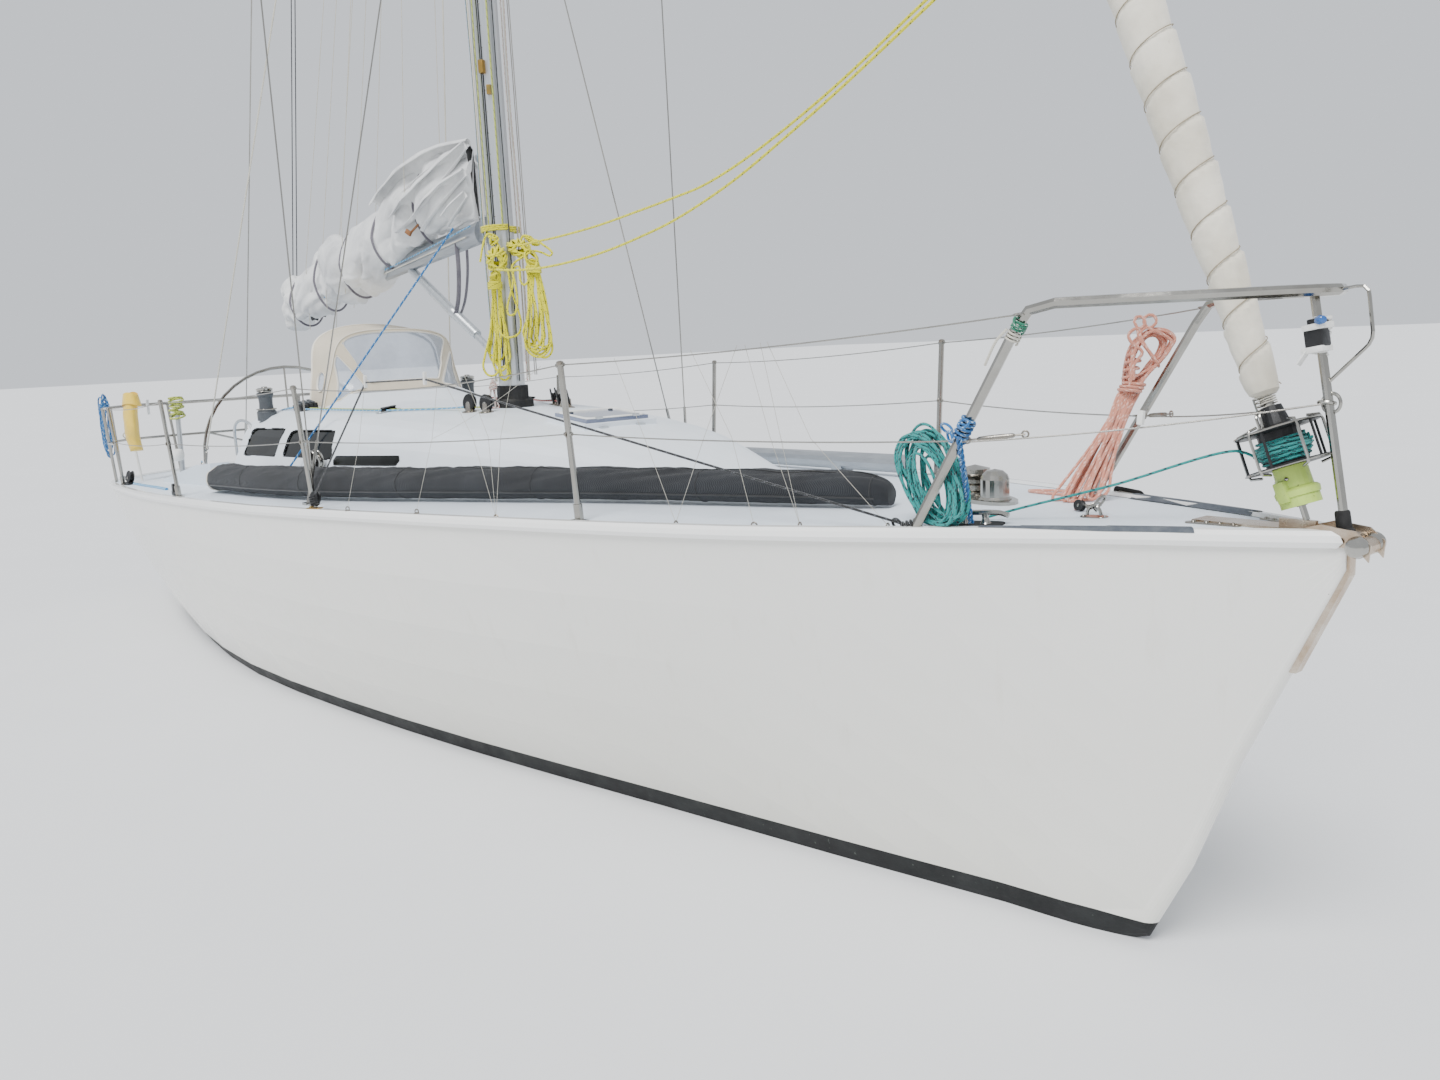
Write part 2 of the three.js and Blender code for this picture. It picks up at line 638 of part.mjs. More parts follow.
function steeringWheel() {
  const rim = new THREE.TorusGeometry(wheel.radius, wheel.rim, 6, 40);
  rim.rotateY(Math.PI / 2);
  rim.translate(bowX - wheel.aft, 0, wheel.z);
  const hub = rod(at(wheel.aft - 40, 0, wheel.z), at(wheel.aft + 25, 0, wheel.z), 55, 16);
  const spokes = [0, 1, 2, 3, 4].map((i) => {
    const a = (i / 5) * 2 * Math.PI + Math.PI / 2;
    return rod(at(wheel.aft, 0, wheel.z), at(wheel.aft, wheel.radius * Math.cos(a),
      wheel.z + wheel.radius * Math.sin(a)), 8, 8);
  });
  return union([solidOf(rim), hub, ...spokes]);
}

// Mast, boom and stays. The rubber boot at the mast's foot is a low round ring with a sleeve above it.
const boot = { radius: 115, ring: 45, top: 117, wall: 16 };

function mastForm(grow) {
  const shape = new THREE.Shape();
  const sides = 20;
  for (let i = 0; i < sides; i++) {
    const a = (i / sides) * 2 * Math.PI;
    const p = [(mastSize.length / 2 + grow) * Math.cos(a), (mastSize.width / 2 + grow) * Math.sin(a)];
    if (i) shape.lineTo(...p);
    else shape.moveTo(...p);
  }
  const foot = roofZ(mastAft) + boot.ring + seat - grow;
  const geometry = new THREE.ExtrudeGeometry(shape, { depth: mastTop - foot, bevelEnabled: false });
  geometry.translate(bowX - mastAft, 0, foot);
  return solidOf(geometry);
}

function mastStep() {
  const foot = roofZ(mastAft);
  const ring = turned([[0, -60], [boot.radius, -60], [boot.radius, boot.ring - 14],
    [boot.radius - 12, boot.ring], [0, boot.ring]],
    at(mastAft, 0, foot), upward, 28);
  const sleeve = mastForm(boot.wall).intersect(box([4000, 5000], [-200, 200],
    [foot + boot.ring - 20, foot + boot.top]));
  return ring.add(sleeve).subtract(mastForm(seat)).subtract(roofGrown);
}

const spreaders = [
  { z: lowerSpreaderZ, half: 1180 },
  { z: upperSpreaderZ, half: 900 },
];
const gooseneck = { z: 2665, half: 72 };
const vangFootZ = 1985;

function spreaderArms(grow) {
  return union(spreaders.flatMap(({ z, half }) => [1, -1].map((side) => {
    return rod(at(mastAft, 0, z), at(mastAft, side * (half + grow), z + 60), 34 + grow, 8, 16 + grow);
  })));
}

function mast() {
  const pieces = [mastForm(0), spreaderArms(0)];
  pieces.push(box([stayHead.aft - 30, mastAft + 230], [-30, 30], [mastTop - 90, mastTop + 20]));
  for (const [z, half] of [[gooseneck.z, gooseneck.half], [vangFootZ, 34]]) {
    for (const side of [1, -1]) {
      const level = z + side * (half + 6);
      pieces.push(box([mastAft + 60, pinAft + 22], [-24, 24], [level - 5, level + 5]));
    }
    pieces.push(rod(at(pinAft, 0, z - half - 6), at(pinAft, 0, z + half + 6), pinRadius, 16));
  }
  return union(pieces);
}

// The boom droops a little toward its end
const boomLine = { front: pinAft + 60, back: 8060, frontZ: 2665, backZ: 2400 };
const boomAt = (aft) => {
  const t = (aft - boomLine.front) / (boomLine.back - boomLine.front);
  return at(aft, 0, boomLine.frontZ + t * (boomLine.backZ - boomLine.frontZ));
};
const pinEye = (z, half) => rod(at(pinAft, 0, z - half), at(pinAft, 0, z + half), 24, 16)
  .subtract(rod(at(pinAft, 0, z - half - 5), at(pinAft, 0, z + half + 5), pinRadius + 0.8, 16));

function boomSpar(grow) {
  return loft([boomLine.front - grow, boomLine.back + grow].map((aft) => {
    const middle = boomAt(aft);
    return Array.from({ length: 12 }, (_, i) => {
      const a = (i / 12) * 2 * Math.PI;
      return new THREE.Vector3(middle.x, (42 + grow) * Math.cos(a), middle.z + (66 + grow) * Math.sin(a));
    });
  }));
}

function boom() {
  const spar = boomSpar(0);
  const neck = box([pinAft + 16, boomLine.front + 30], [-14, 14], [gooseneck.z - 50, gooseneck.z + 50]);
  return union([spar, neck, pinEye(gooseneck.z, gooseneck.half - 4)]);
}

const vangHead = 5780;
function vang() {
  const head = boomAt(vangHead).add(new THREE.Vector3(0, 0, -66));
  const foot = at(pinAft + 48, 0, vangFootZ + 12);
  const middle = foot.clone().lerp(head, 0.45);
  const neck = box([pinAft + 16, pinAft + 75], [-12, 12], [vangFootZ - 22, vangFootZ + 22]);
  const pieces = [neck, rod(foot, middle, 20, 12), rod(middle, head, 30, 12), pinEye(vangFootZ, 30)];
  return union(pieces).subtract(moved(boom(), 0, 0, -seat)).subtract(boom());
}

// Columns: aft, underside, top, half width. Aft of the vang the sail hangs round the boom.
const sailBundle = [
  [4870, 2700, 3170, 60],
  [5150, 2680, 3160, 110],
  [5600, 2630, 3080, 150],
  [6050, 2540, 2960, 165],
  [6450, 2420, 2870, 165],
  [6900, 2365, 2860, 155],
  [7250, 2335, 2780, 140],
  [7500, 2310, 2690, 130],
  [7850, 2245, 2600, 130],
  [8110, 2260, 2540, 100],
  [8220, 2330, 2480, 50],
];

function stowedMainsail() {
  const rings = sailBundle.map(([aft, low, high, half]) => Array.from({ length: 12 }, (_, i) => {
    const a = (i / 12) * 2 * Math.PI;
    return at(aft, half * Math.cos(a), (low + high) / 2 + ((high - low) / 2) * Math.sin(a));
  }));
  return loft(rings).subtract(boomSpar(seat * 1.3));
}

const stayAxis = at(stayHead.aft, 0, stayHead.z).sub(at(stayFoot.aft, 0, stayFoot.z)).normalize();
const alongStay = (distance) => at(stayFoot.aft, 0, stayFoot.z).addScaledVector(stayAxis, distance);
const stayLength = at(stayHead.aft, 0, stayHead.z).distanceTo(at(stayFoot.aft, 0, stayFoot.z));

const masthead = (grow) => box([stayHead.aft - 30 - grow, mastAft + 230], [-30 - grow, 30 + grow],
  [mastTop - 90 - grow, mastTop + 20]);
const foilRadius = 14;
const foilBore = foilRadius + seat;

function forestay() {
  const foil = rod(alongStay(4), alongStay(stayLength - 60), foilRadius, 16);
  const toggle = rod(alongStay(-36 - seat * 2), alongStay(20), 9, 8);
  const link = rod(alongStay(stayLength - 80), alongStay(stayLength + 20), 8, 8);
  return union([foil, toggle, link]).subtract(mastForm(seat)).subtract(masthead(seat))
    .subtract(stemTang(seat));
}

// A turned piece that fits round the stay's foil
function roundStay(profile, distance, sides) {
  const whole = turned([[0, profile[0][1]], ...profile, [0, profile[profile.length - 1][1]]],
    alongStay(distance), stayAxis, sides);
  return whole.subtract(rod(alongStay(0), alongStay(stayLength), foilBore, 16));
}

// The furling gear: a lower unit that is fixed to the deck, and a drum between two plates in a cage of rods
const furler = { base: 6, baseTop: 118, plate: 112, coreRadius: 57, drumHeight: 112 };

function furlerBase() {
  return roundStay([[54, 0], [54, 46], [47, 52], [46, furler.baseTop - furler.base]], furler.base, 20);
}

function furlerDrum() {
  const high = furler.drumHeight;
  const reach = furler.plate;
  const core = furler.coreRadius;
  const profile = [[reach, 0], [reach, 7], [core, 10], [core, high - 10], [reach, high - 7],
    [reach, high], [40, high + 10], [30, high + 62]];
  const start = furler.baseTop + seat;
  const drum = roundStay(profile, start, 24);
  const side = new THREE.Vector3(0, 1, 0);
  const rods = [0.6, 1.9, 3.2, 4.5, 5.6].map((a) => {
    const out = side.clone().applyAxisAngle(stayAxis, a).multiplyScalar(reach - 6);
    return rod(alongStay(start + 2).add(out), alongStay(start + high - 2).add(out), 4, 6);
  });
  return union([drum, ...rods]);
}

// Columns: distance from the sail's foot along the stay, radius
const genoaRoll = [[0, 32], [12, 43], [470, 55], [608, 61], [897, 68], [1217, 71], [5200, 72],
  [8600, 60], [11350, 40], [11400, 20]];
const genoaFoot = 325;

function furledGenoa() {
  return roundStay(genoaRoll.map(([distance, radius]) => [radius, distance]), genoaFoot, 20);
}

function backstay() {
  const foot = at(9830, 0, deckZ(9830, 0) + 2);
  const head = at(mastAft + 190, 0, mastTop - 92);
  const line = head.clone().sub(foot).normalize();
  const screw = rod(foot, foot.clone().addScaledVector(line, 420), 13, 8);
  return rod(foot, head, 5, 8).add(screw).add(box([9790, 9870], [-30, 30], [foot.z - 20, foot.z + 6]))
    .subtract(underDeck);
}

function shroud(side, inner) {
  const foot = at(chainplate.aft + (inner ? 90 : 0), side * chainplate.half,
    deckZ(chainplate.aft, chainplate.half) + 2);
  const heads = inner
    ? [at(mastAft, side * 40, lowerSpreaderZ - 90)]
    : [
        at(mastAft, side * (spreaders[0].half + 4.6), lowerSpreaderZ + 60),
        at(mastAft, side * (spreaders[1].half + 4.6), upperSpreaderZ + 60),
        at(mastAft, side * 40, mastTop - 60),
      ];
  const pieces = [box([chainplate.aft - 30 + (inner ? 90 : 0), chainplate.aft + 30 + (inner ? 90 : 0)],
    [side * chainplate.half - 20, side * chainplate.half + 20], [foot.z - 30, foot.z + 5])];
  const line = heads[0].clone().sub(foot).normalize();
  pieces.push(rod(foot, foot.clone().addScaledVector(line, 330), 9, 8));
  let from = foot;
  for (const head of heads) {
    pieces.push(rod(from, head, 4, 8));
    from = head;
  }
  return union(pieces).subtract(mastForm(seat)).subtract(spreaderArms(seat)).subtract(underDeck);
}

// Deck gear
const rail = { radius: 16, topZ: 2055, noseAft: 50, barAft: 125, footAft: 1120, footHalf: 495 };
const pulpitLegTop = at(680, 488, rail.topZ);

function pulpit() {
  const sideRail = (side) => [
    at(rail.footAft, side * rail.footHalf, deckZ(rail.footAft, rail.footHalf) - 20),
    new THREE.Vector3(pulpitLegTop.x, side * pulpitLegTop.y, pulpitLegTop.z),
    at(360, side * 330, rail.topZ),
    at(110, side * 130, rail.topZ),
    at(rail.noseAft, 0, rail.topZ),
  ];
  const whole = [...sideRail(-1), ...sideRail(1).reverse().slice(1)];
  const pieces = [tube(bentPath(whole, 60), rail.radius, 44, 8)];
  const footZ = deckZ(100, 0) + 8 + seat;
  const leg = rod(at(rail.barAft, 0, rail.topZ), at(13, 0, footZ - 6), 12.5, 10);
  pieces.push(leg.subtract(box([-60, 80], [-60, 60], [footZ - 60, footZ])));
  pieces.push(rod(at(rail.barAft, -140, rail.topZ), at(rail.barAft, 140, rail.topZ), 10, 8));
  const guard = [at(rail.noseAft, 0, rail.topZ), at(-12, 0, rail.topZ + 8), at(-32, 0, 1920),
    at(78, 0, 1810)];
  pieces.push(tube(bentPath(guard, 25), 5, 20, 6));
  for (const side of [1, -1]) {
    pieces.push(turned([[0, -14], [34, -14], [34, 6], [20, 12], [0, 12]],
      at(rail.footAft, side * rail.footHalf, deckZ(rail.footAft, rail.footHalf)), upward, 12));
  }
  return onDeck(union(pieces));
}

// Columns: aft, half beam. The foremost one stands further forward on the port side.
const stanchions = {
  starboard: [[2440, 910], [4360, 1266], [6470, 1390], [8720, 1262]],
  port: [[2170, 850], [4360, 1266], [6470, 1390], [8720, 1262]],
};
const postHeight = 605;

function stanchion([aft, half], side) {
  const foot = deckZ(aft, half);
  const post = rod(at(aft, side * half, foot - 5), at(aft, side * (half + 40), foot + postHeight),
    12.5, 10);
  const socket = rod(at(aft, side * half, foot - 5), at(aft, side * (half + 5), foot + 70), 18, 10);
  const base = box([aft - 42, aft + 42], [side * half - 22, side * half + 22], [foot - 20, foot + 7]);
  return onDeck(union([post, socket, base]));
}

function pushpit() {
  const corners = (z) => [-1, 1].flatMap((side) => {
    const run = [at(8950, side * 1240, z + 20), at(9500, side * 1200, z), at(9860, side * 960, z),
      at(9930, side * 600, z)];
    return side < 0 ? run : run.reverse();
  });
  const pieces = [];
  for (const z of [1660, 1370]) pieces.push(tube(bentPath(corners(z), 180), z > 1500 ? 14 : 11, 30, 6));
  for (const side of [1, -1]) {
    for (const [aft, half, topAft, topHalf] of [[8960, 1218, 8960, 1240], [9500, 1162, 9500, 1198],
      [9850, 560, 9930, 590]]) {
      pieces.push(rod(at(aft, side * half, deckZ(aft, half) - 10), at(topAft, side * topHalf, 1668),
        13, 8));
    }
  }
  return onDeck(union(pieces));
}

const winchPlace = { aft: 6630, half: 742 };

function winch(side) {
  const foot = at(winchPlace.aft, side * winchPlace.half, roofZ(winchPlace.aft, winchPlace.half));
  const profile = [[0, -40], [63, -40], [63, 16], [57, 24], [46, 36], [43, 75], [46, 112], [53, 126],
    [53, 142], [34, 148], [34, 160], [0, 164]];
  return turned(profile, foot, upward, 24).subtract(roofGrown);
}

// The windlass: a low oval plate that carries an upright capstan and a taller gypsy beside it
const windlassPlace = { capstan: [1190, 15], gypsy: [1325, 75] };

function windlass() {
  const foot = deckZ(1250, 0);
  const outline = Array.from({ length: 20 }, (_, i) => {
    const a = (i / 20) * 2 * Math.PI;
    return [1255 + 165 * Math.cos(a), 45 + 85 * Math.sin(a) + 50 * Math.cos(a)];
  });
  const capstan = [[0, 0], [58, 0], [58, 16], [50, 24], [50, 84], [44, 100], [28, 114], [0, 120]];
  const gypsy = [[0, 0], [60, 0], [60, 26], [44, 34], [44, 50], [60, 60], [60, 72], [40, 80], [54, 92],
    [54, 108], [0, 122]];
  const [c, g] = [windlassPlace.capstan, windlassPlace.gypsy];
  return union([
    planPlate(outline, [foot - 20, foot + 14]),
    turned(capstan, at(c[0], c[1], foot), upward, 20),
    turned(gypsy, at(g[0], g[1], foot), upward, 20),
  ]).subtract(underDeck);
}

const stemTang = (grow) => box([90 - grow, 190 + grow], [-8 - grow, 8 + grow],
  [deckZ(100, 0), stayFoot.z - 34 + grow]);

function stemFitting() {
  const top = deckZ(100, 0);
  const base = box([-25, 430], [-42, 42], [top - 30, top + 8]);
  const cheeks = [1, -1].map((side) => sidePlate(
    [[-66, top - 62], [-70, top - 16], [-30, top + 18], [60, top + 28], [130, top + 6], [-10, top - 4]],
    side > 0 ? [42, 48] : [-48, -42]));
  const roller = rod(at(-38, -42, top - 28), at(-38, 42, top - 28), 25, 14);
  const strap = sidePlate([[-8, top], [-8, 1296], [122, 1000], [180, 1000], [60, 1290], [60, top]],
    [-19, 19]);
  return union([base, ...cheeks, roller, strap, stemTang(0)]).subtract(grownBow);
}

// Soft goods. The sprayhood's bows from the front aft; the first lies flat on the garage's top.
const hoodFlat = roofTop + garage.height + 5;
const hoodArches = [
  { foot: [6080, 440], corner: [6050, 350], crownAft: 6030, cornerZ: hoodFlat, crownZ: hoodFlat },
  { foot: [6220, 500], corner: [6170, 360], crownAft: 6230, cornerZ: 2105, crownZ: 2165 },
  { foot: [6460, 505], corner: [6500, 410], crownAft: 6660, cornerZ: 2110, crownZ: 2215 },
];
const hoodCloth = 8;

// A bow's line from foot to foot, moved inward or aft
function hoodArch(arch, inset, aftShift = 0) {
  const [footAft, footY] = arch.foot;
  const [cornerAft, cornerY] = arch.corner;
  const footZ = roofZ(footAft, footY);
  const cornerZ = arch.cornerZ - inset;
  const half = [
    at(footAft + aftShift, footY - inset, footZ),
    at(footAft * 0.6 + cornerAft * 0.4 + aftShift, (footY + cornerY) / 2 + 8 - inset,
      footZ * 0.5 + cornerZ * 0.5),
    at(cornerAft + aftShift, cornerY - inset, cornerZ),
    at(arch.crownAft + aftShift, 0, arch.crownZ - inset),
  ];
  const whole = [...half, ...half.slice(0, -1).reverse().map((p) => new THREE.Vector3(p.x, -p.y, p.z))];
  return new THREE.CatmullRomCurve3(whole, false, "centripetal").getPoints(18);
}

// The space under the bows, closed below the roof
function hoodForm(arches) {
  return loft(arches.map((arch) => {
    const [first, last] = [arch[0], arch[arch.length - 1]];
    return [...arch, ...[last, first].map((p) => new THREE.Vector3(p.x, p.y, p.z - 250))];
  }));
}

function sprayhood() {
  const [front, middle, back] = hoodArches;
  const outer = hoodForm([hoodArch(front, 0), hoodArch(middle, 0), hoodArch(back, 0)]);
  const inner = hoodForm([
    hoodArch(front, hoodCloth, 2 * hoodCloth),
    hoodArch(middle, hoodCloth, hoodCloth),
    hoodArch(back, hoodCloth),
    hoodArch(back, hoodCloth, 60),
  ]);
  return outer.subtract(inner).subtract(roofGrown).subtract(garageBlock(seat));
}

function hoodBow() {
  const path = new THREE.CatmullRomCurve3(
    hoodArch(hoodArches[2], hoodCloth + 14, -12), false, "centripetal");
  return tube(path, 9, 30, 8).subtract(roofGrown);
}

// Rings of one count set square to a path, each with its own half sizes across and upward
function taperedRings(points, sizes, sides) {
  const path = new THREE.CatmullRomCurve3(points, false, "centripetal");
  return sizes.map(([across, high], i) => {
    const t = i / (sizes.length - 1);
    const middle = path.getPointAt(t);
    const ahead = path.getTangentAt(t);
    const side = new THREE.Vector3().crossVectors(ahead, upward).normalize();
    const over = new THREE.Vector3().crossVectors(side, ahead);
    return Array.from({ length: sides }, (_, k) => {
      const a = (k / sides) * 2 * Math.PI;
      return middle.clone().addScaledVector(side, across * Math.cos(a))
        .addScaledVector(over, high * Math.sin(a));
    });
  });
}

// Columns: aft, y. The bag is thinner toward the bow.
const bagPath = [[1450, -228], [2000, -400], [2700, -590], [3400, -790], [4200, -985], [5200, -1130],
  [6350, -1190]];
const bagRadius = (share) => 68 + 22 * Math.min(1, 1.35 * share);

function sailBag() {
  const [front, back] = [bagPath[0][0], bagPath[bagPath.length - 1][0]];
  const points = bagPath.map(([aft, y]) => at(aft, y,
    deckZ(aft, y) + bagRadius((aft - front) / (back - front)) - 3));
  const steps = 26;
  const sizes = Array.from({ length: steps + 1 }, (_, i) => {
    const share = i / steps;
    const radius = bagRadius(share) * (i === 0 || i === steps ? 0.6 : 1);
    return [radius, radius];
  });
  return loft(taperedRings(points, sizes, 12)).subtract(underDeck).subtract(roofGrown);
}

function spinnakerPole() {
  const [front, back] = [[2120, 605], [6350, 1290]];
  const lift = 60;
  const ends = [front, back].map(([aft, y]) => at(aft, y, deckZ(aft, y) + lift));
  const middle = ends[0].clone().lerp(ends[1], 0.5);
  middle.z = deckZ(bowX - middle.x, middle.y) + lift;
  const path = bentPath([ends[0], middle, ends[1]], 900);
  const chocks = [0.12, 0.5, 0.88].map((t) => {
    const p = path.getPointAt(t);
    return box([bowX - p.x - 35, bowX - p.x + 35], [p.y - 40, p.y + 40], [p.z - 100, p.z - 10]);
  });
  return union([tube(path, 42, 10, 12), ...chocks]).subtract(underDeck);
}

// Ropes. A hank is a plain solid, oval in plan, with rows of aft, y, z, half length and half width.
function hank(rows, grow = 0) {
  return loft(rows.map(([aft, y, z, long, wide]) => Array.from({ length: 12 }, (_, i) => {
    const a = (i / 12) * 2 * Math.PI;
    return at(aft + (long + grow) * Math.cos(a), y + (wide + grow) * Math.sin(a), z);
  })));
}

const hanks = {
  starboard_mast_hank: [
    [4462, -86, 2665, 34, 24], [4455, -92, 2570, 46, 34], [4452, -104, 2480, 58, 40],
    [4456, -108, 2400, 66, 42],
    [4480, -102, 2300, 44, 32], [4500, -96, 2240, 38, 30], [4520, -98, 2080, 62, 36],
    [4545, -116, 1930, 92, 36],
    [4550, -118, 1865, 78, 34], [4550, -118, 1842, 40, 20],
  ],
  port_mast_hank: [
    [4448, 26, 2660, 50, 40], [4424, 24, 2570, 66, 56], [4372, 22, 2480, 72, 62], [4356, 22, 2400, 66, 58],
    [4346, 26, 2300, 58, 52], [4330, 30, 2180, 70, 58], [4330, 34, 2060, 84, 66], [4334, 34, 1970, 84, 64],
    [4336, 34, 1935, 50, 40],
  ],
  mast_foot_hank: [
    [4525, -140, 1834, 16, 12], [4530, -142, 1805, 30, 20], [4540, -144, 1760, 34, 22],
    [4548, -146, 1690, 30, 22],
    [4550, -146, 1640, 26, 20],
  ],
  bow_hank: [
    [925, 520, 2010, 34, 26], [915, 505, 1960, 78, 44], [905, 470, 1880, 74, 44], [918, 430, 1790, 36, 32],
    [930, 390, 1730, 34, 32], [948, 310, 1600, 46, 38], [968, 220, 1480, 62, 56], [978, 175, 1420, 80, 74],
    [980, 165, 1370, 76, 70],
  ],
};

function mastHank(name) {
  return hank(hanks[name]).subtract(mastForm(seat)).subtract(roofGrown);
}

const bowHank = () => hank(hanks.bow_hank).subtract(underDeck);

// The coil of furling line hangs against the starboard leg of the pulpit
const lineCoil = { aft: 1075, z: 1548, half: [122, 182], y: [-476, -408], lean: 0.42 };

function furlingCoil() {
  const outline = Array.from({ length: 24 }, (_, i) => {
    const a = (i / 24) * 2 * Math.PI;
    const [u, v] = [lineCoil.half[0] * Math.cos(a), lineCoil.half[1] * Math.sin(a)];
    const aft = lineCoil.aft + u * Math.cos(lineCoil.lean) + v * Math.sin(lineCoil.lean);
    return [aft, lineCoil.z - u * Math.sin(lineCoil.lean) + v * Math.cos(lineCoil.lean)];
  });
  return onDeck(sidePlate(outline, lineCoil.y));
}

// The headsail's two sheets hang between the hanks at the mast and the clew: aft, y, z
const sheetDiameter = 12;
const sheetRoutes = {
  port_sheet: [[4390, 26, 2556], [4256, 24, 2560], [4100, 26, 2562], [3940, 28, 2567], [3620, 30, 2583],
    [3300, 33, 2611], [3000, 36, 2640],
    [2770, 38, 2668], [2440, 42, 2752], [1990, 47, 2911], [1510, 54, 3122], [1180, 60, 3268],
    [850, 58, 3404]],
  starboard_sheet: [[4424, -122, 2428], [4340, -146, 2420], [4200, -136, 2408], [3960, -116, 2402],
    [3680, -104, 2412], [3400, -95, 2434],
    [3100, -87, 2476], [2840, -80, 2524], [2450, -74, 2632], [2120, -70, 2755], [1830, -67, 2872],
    [1350, -64, 3083],
    [1080, -62, 3205], [826, -54, 3316]],
};

const rollProfile = genoaRoll.map(([distance, radius]) => [radius + seat, distance]);
const grownRoll = turned([[0, 0], ...rollProfile, [0, 11400]], alongStay(genoaFoot), stayAxis, 20);

function sheet(name) {
  const path = new THREE.CatmullRomCurve3(sheetRoutes[name].map((p) => at(...p)), false, "centripetal");
  const hanksAtMast = hank(hanks.port_mast_hank, seat).add(hank(hanks.starboard_mast_hank, seat));
  return tube(path, sheetDiameter / 2, 50, 8).subtract(grownRoll).subtract(hanksAtMast);
}

// The object
const yacht = new THREE.Group();

function add(name, solid, colour) {
  const [color, roughness, metalness] = colours[colour];
  const material = new THREE.MeshStandardMaterial({ color, roughness, metalness });
  const mesh = new THREE.Mesh(geometryOf(solid), material);
  mesh.name = name;
  yacht.add(mesh);
}

add("hull_topsides", topsides(), "gelcoat");
add("hull_bottom", bottom(), "bottomPaint");
add("deck", deck(), "deckPaint");
add("gunwale", gunwale(), "gelcoat");
add("coachroof", coachroof(), "deckPaint");
for (const [name, outline] of Object.entries(windows)) {
  add("starboard_" + name, pane(outline, -1), "plexiglass");
  add("port_" + name, pane(outline, 1), "plexiglass");
}
add("fore_hatch", foreHatch(), "plexiglass");
add("companion_hatch", companionHatch(), "deckPaint");
add("washboards", washboards(), "teak");
add("cockpit", cockpit(), "deckPaint");
add("keel", keel(), "bottomPaint");
add("rudder", rudder(), "bottomPaint");
add("saildrive", saildrive(), "castIron");
add("propeller", propeller(), "bronze");
add("engine", engineBlock(), "castIron");
add("pedestal", pedestal(), "gelcoat");
add("steering_wheel", steeringWheel(), "steel");
add("mast", mast(), "alloy");
add("mast_step", mastStep(), "darkPlastic");
add("boom", boom(), "alloy");
add("vang", vang(), "alloy");
add("stowed_mainsail", stowedMainsail(), "sailcloth");
add("forestay", forestay(), "steel");
add("furler_base", furlerBase(), "limeAlloy");
add("furler_drum", furlerDrum(), "darkPlastic");
add("furled_genoa", furledGenoa(), "sailcloth");
add("backstay", backstay(), "steel");
for (const [name, side] of [["starboard", -1], ["port", 1]]) {
  add(name + "_cap_shroud", shroud(side, false), "steel");
  add(name + "_lower_shroud", shroud(side, true), "steel");
  add(name + "_winch", winch(side), "alloy");
  stanchions[name].forEach((row, i) => add(name + "_stanchion_" + (i + 1), stanchion(row, side), "steel"));
}
add("pulpit", pulpit(), "steel");
add("pushpit", pushpit(), "steel");
add("windlass", windlass(), "steel");
add("stem_fitting", stemFitting(), "steel");
add("sprayhood", sprayhood(), "hoodCloth");
add("hood_bow", hoodBow(), "steel");
add("sail_bag", sailBag(), "canvas");
add("spinnaker_pole", spinnakerPole(), "alloy");

for (const name of Object.keys(hanks).slice(0, 3)) {
  add(name, mastHank(name), name === "mast_foot_hank" ? "pinkRope" : "yellowRope");
}
add("bow_hank", bowHank(), "pinkRope");
add("furling_coil", furlingCoil(), "tealRope");
for (const name of Object.keys(sheetRoutes)) add(name, sheet(name), "yellowRope");

export default yacht;
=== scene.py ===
import json
import random
from math import ceil, copysign, cos, exp, pi, radians, sin, sqrt

import bmesh
import bpy
from mathutils import Matrix, Vector, noise
from mathutils.bvhtree import BVHTree


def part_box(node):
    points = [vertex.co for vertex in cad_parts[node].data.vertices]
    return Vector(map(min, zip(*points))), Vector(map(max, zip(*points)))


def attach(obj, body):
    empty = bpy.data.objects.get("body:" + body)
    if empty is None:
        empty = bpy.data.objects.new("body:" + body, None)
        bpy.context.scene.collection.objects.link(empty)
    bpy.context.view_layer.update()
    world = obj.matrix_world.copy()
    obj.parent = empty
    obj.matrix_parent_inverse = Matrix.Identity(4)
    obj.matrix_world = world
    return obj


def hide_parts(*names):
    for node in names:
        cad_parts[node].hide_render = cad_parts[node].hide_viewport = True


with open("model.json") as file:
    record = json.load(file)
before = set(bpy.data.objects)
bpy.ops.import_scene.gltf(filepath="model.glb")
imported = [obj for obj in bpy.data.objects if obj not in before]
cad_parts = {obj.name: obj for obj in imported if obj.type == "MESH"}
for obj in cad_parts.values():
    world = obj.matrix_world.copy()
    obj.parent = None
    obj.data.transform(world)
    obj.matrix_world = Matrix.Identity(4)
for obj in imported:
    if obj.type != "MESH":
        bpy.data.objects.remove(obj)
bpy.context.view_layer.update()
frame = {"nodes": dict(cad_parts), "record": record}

nodes = frame["nodes"]
stemX = 5.0
up = Vector((0, 0, 1))
bothSides = (("starboard", -1), ("port", 1))
print("frame loaded:", len(nodes), "nodes")

# Camera, as the photographer stood
photoCamera = {"at": (6.327, -3.197, 1.996), "yaw": 51.75, "pitch": -9.86, "roll": -2.62, "lens": 28.73}


def makeCamera():
    yaw, pitch, roll = (radians(photoCamera[k]) for k in ("yaw", "pitch", "roll"))
    ahead = Vector((-sin(yaw) * cos(pitch), cos(yaw) * cos(pitch), sin(pitch)))
    level = Vector((cos(yaw), sin(yaw), 0))
    over = level.cross(ahead)
    side = level * cos(roll) + over * sin(roll)
    top = over * cos(roll) - level * sin(roll)
    camera = bpy.data.objects.new("photo_camera", bpy.data.cameras.new("photo_camera"))
    camera.data.lens = photoCamera["lens"]
    camera.data.sensor_width = 36
    camera.data.clip_end = 500
    turn = Matrix((side, top, -ahead)).transposed().to_4x4()
    camera.matrix_world = Matrix.Translation(photoCamera["at"]) @ turn
    bpy.context.scene.collection.objects.link(camera)
    bpy.context.scene.camera = camera


makeCamera()


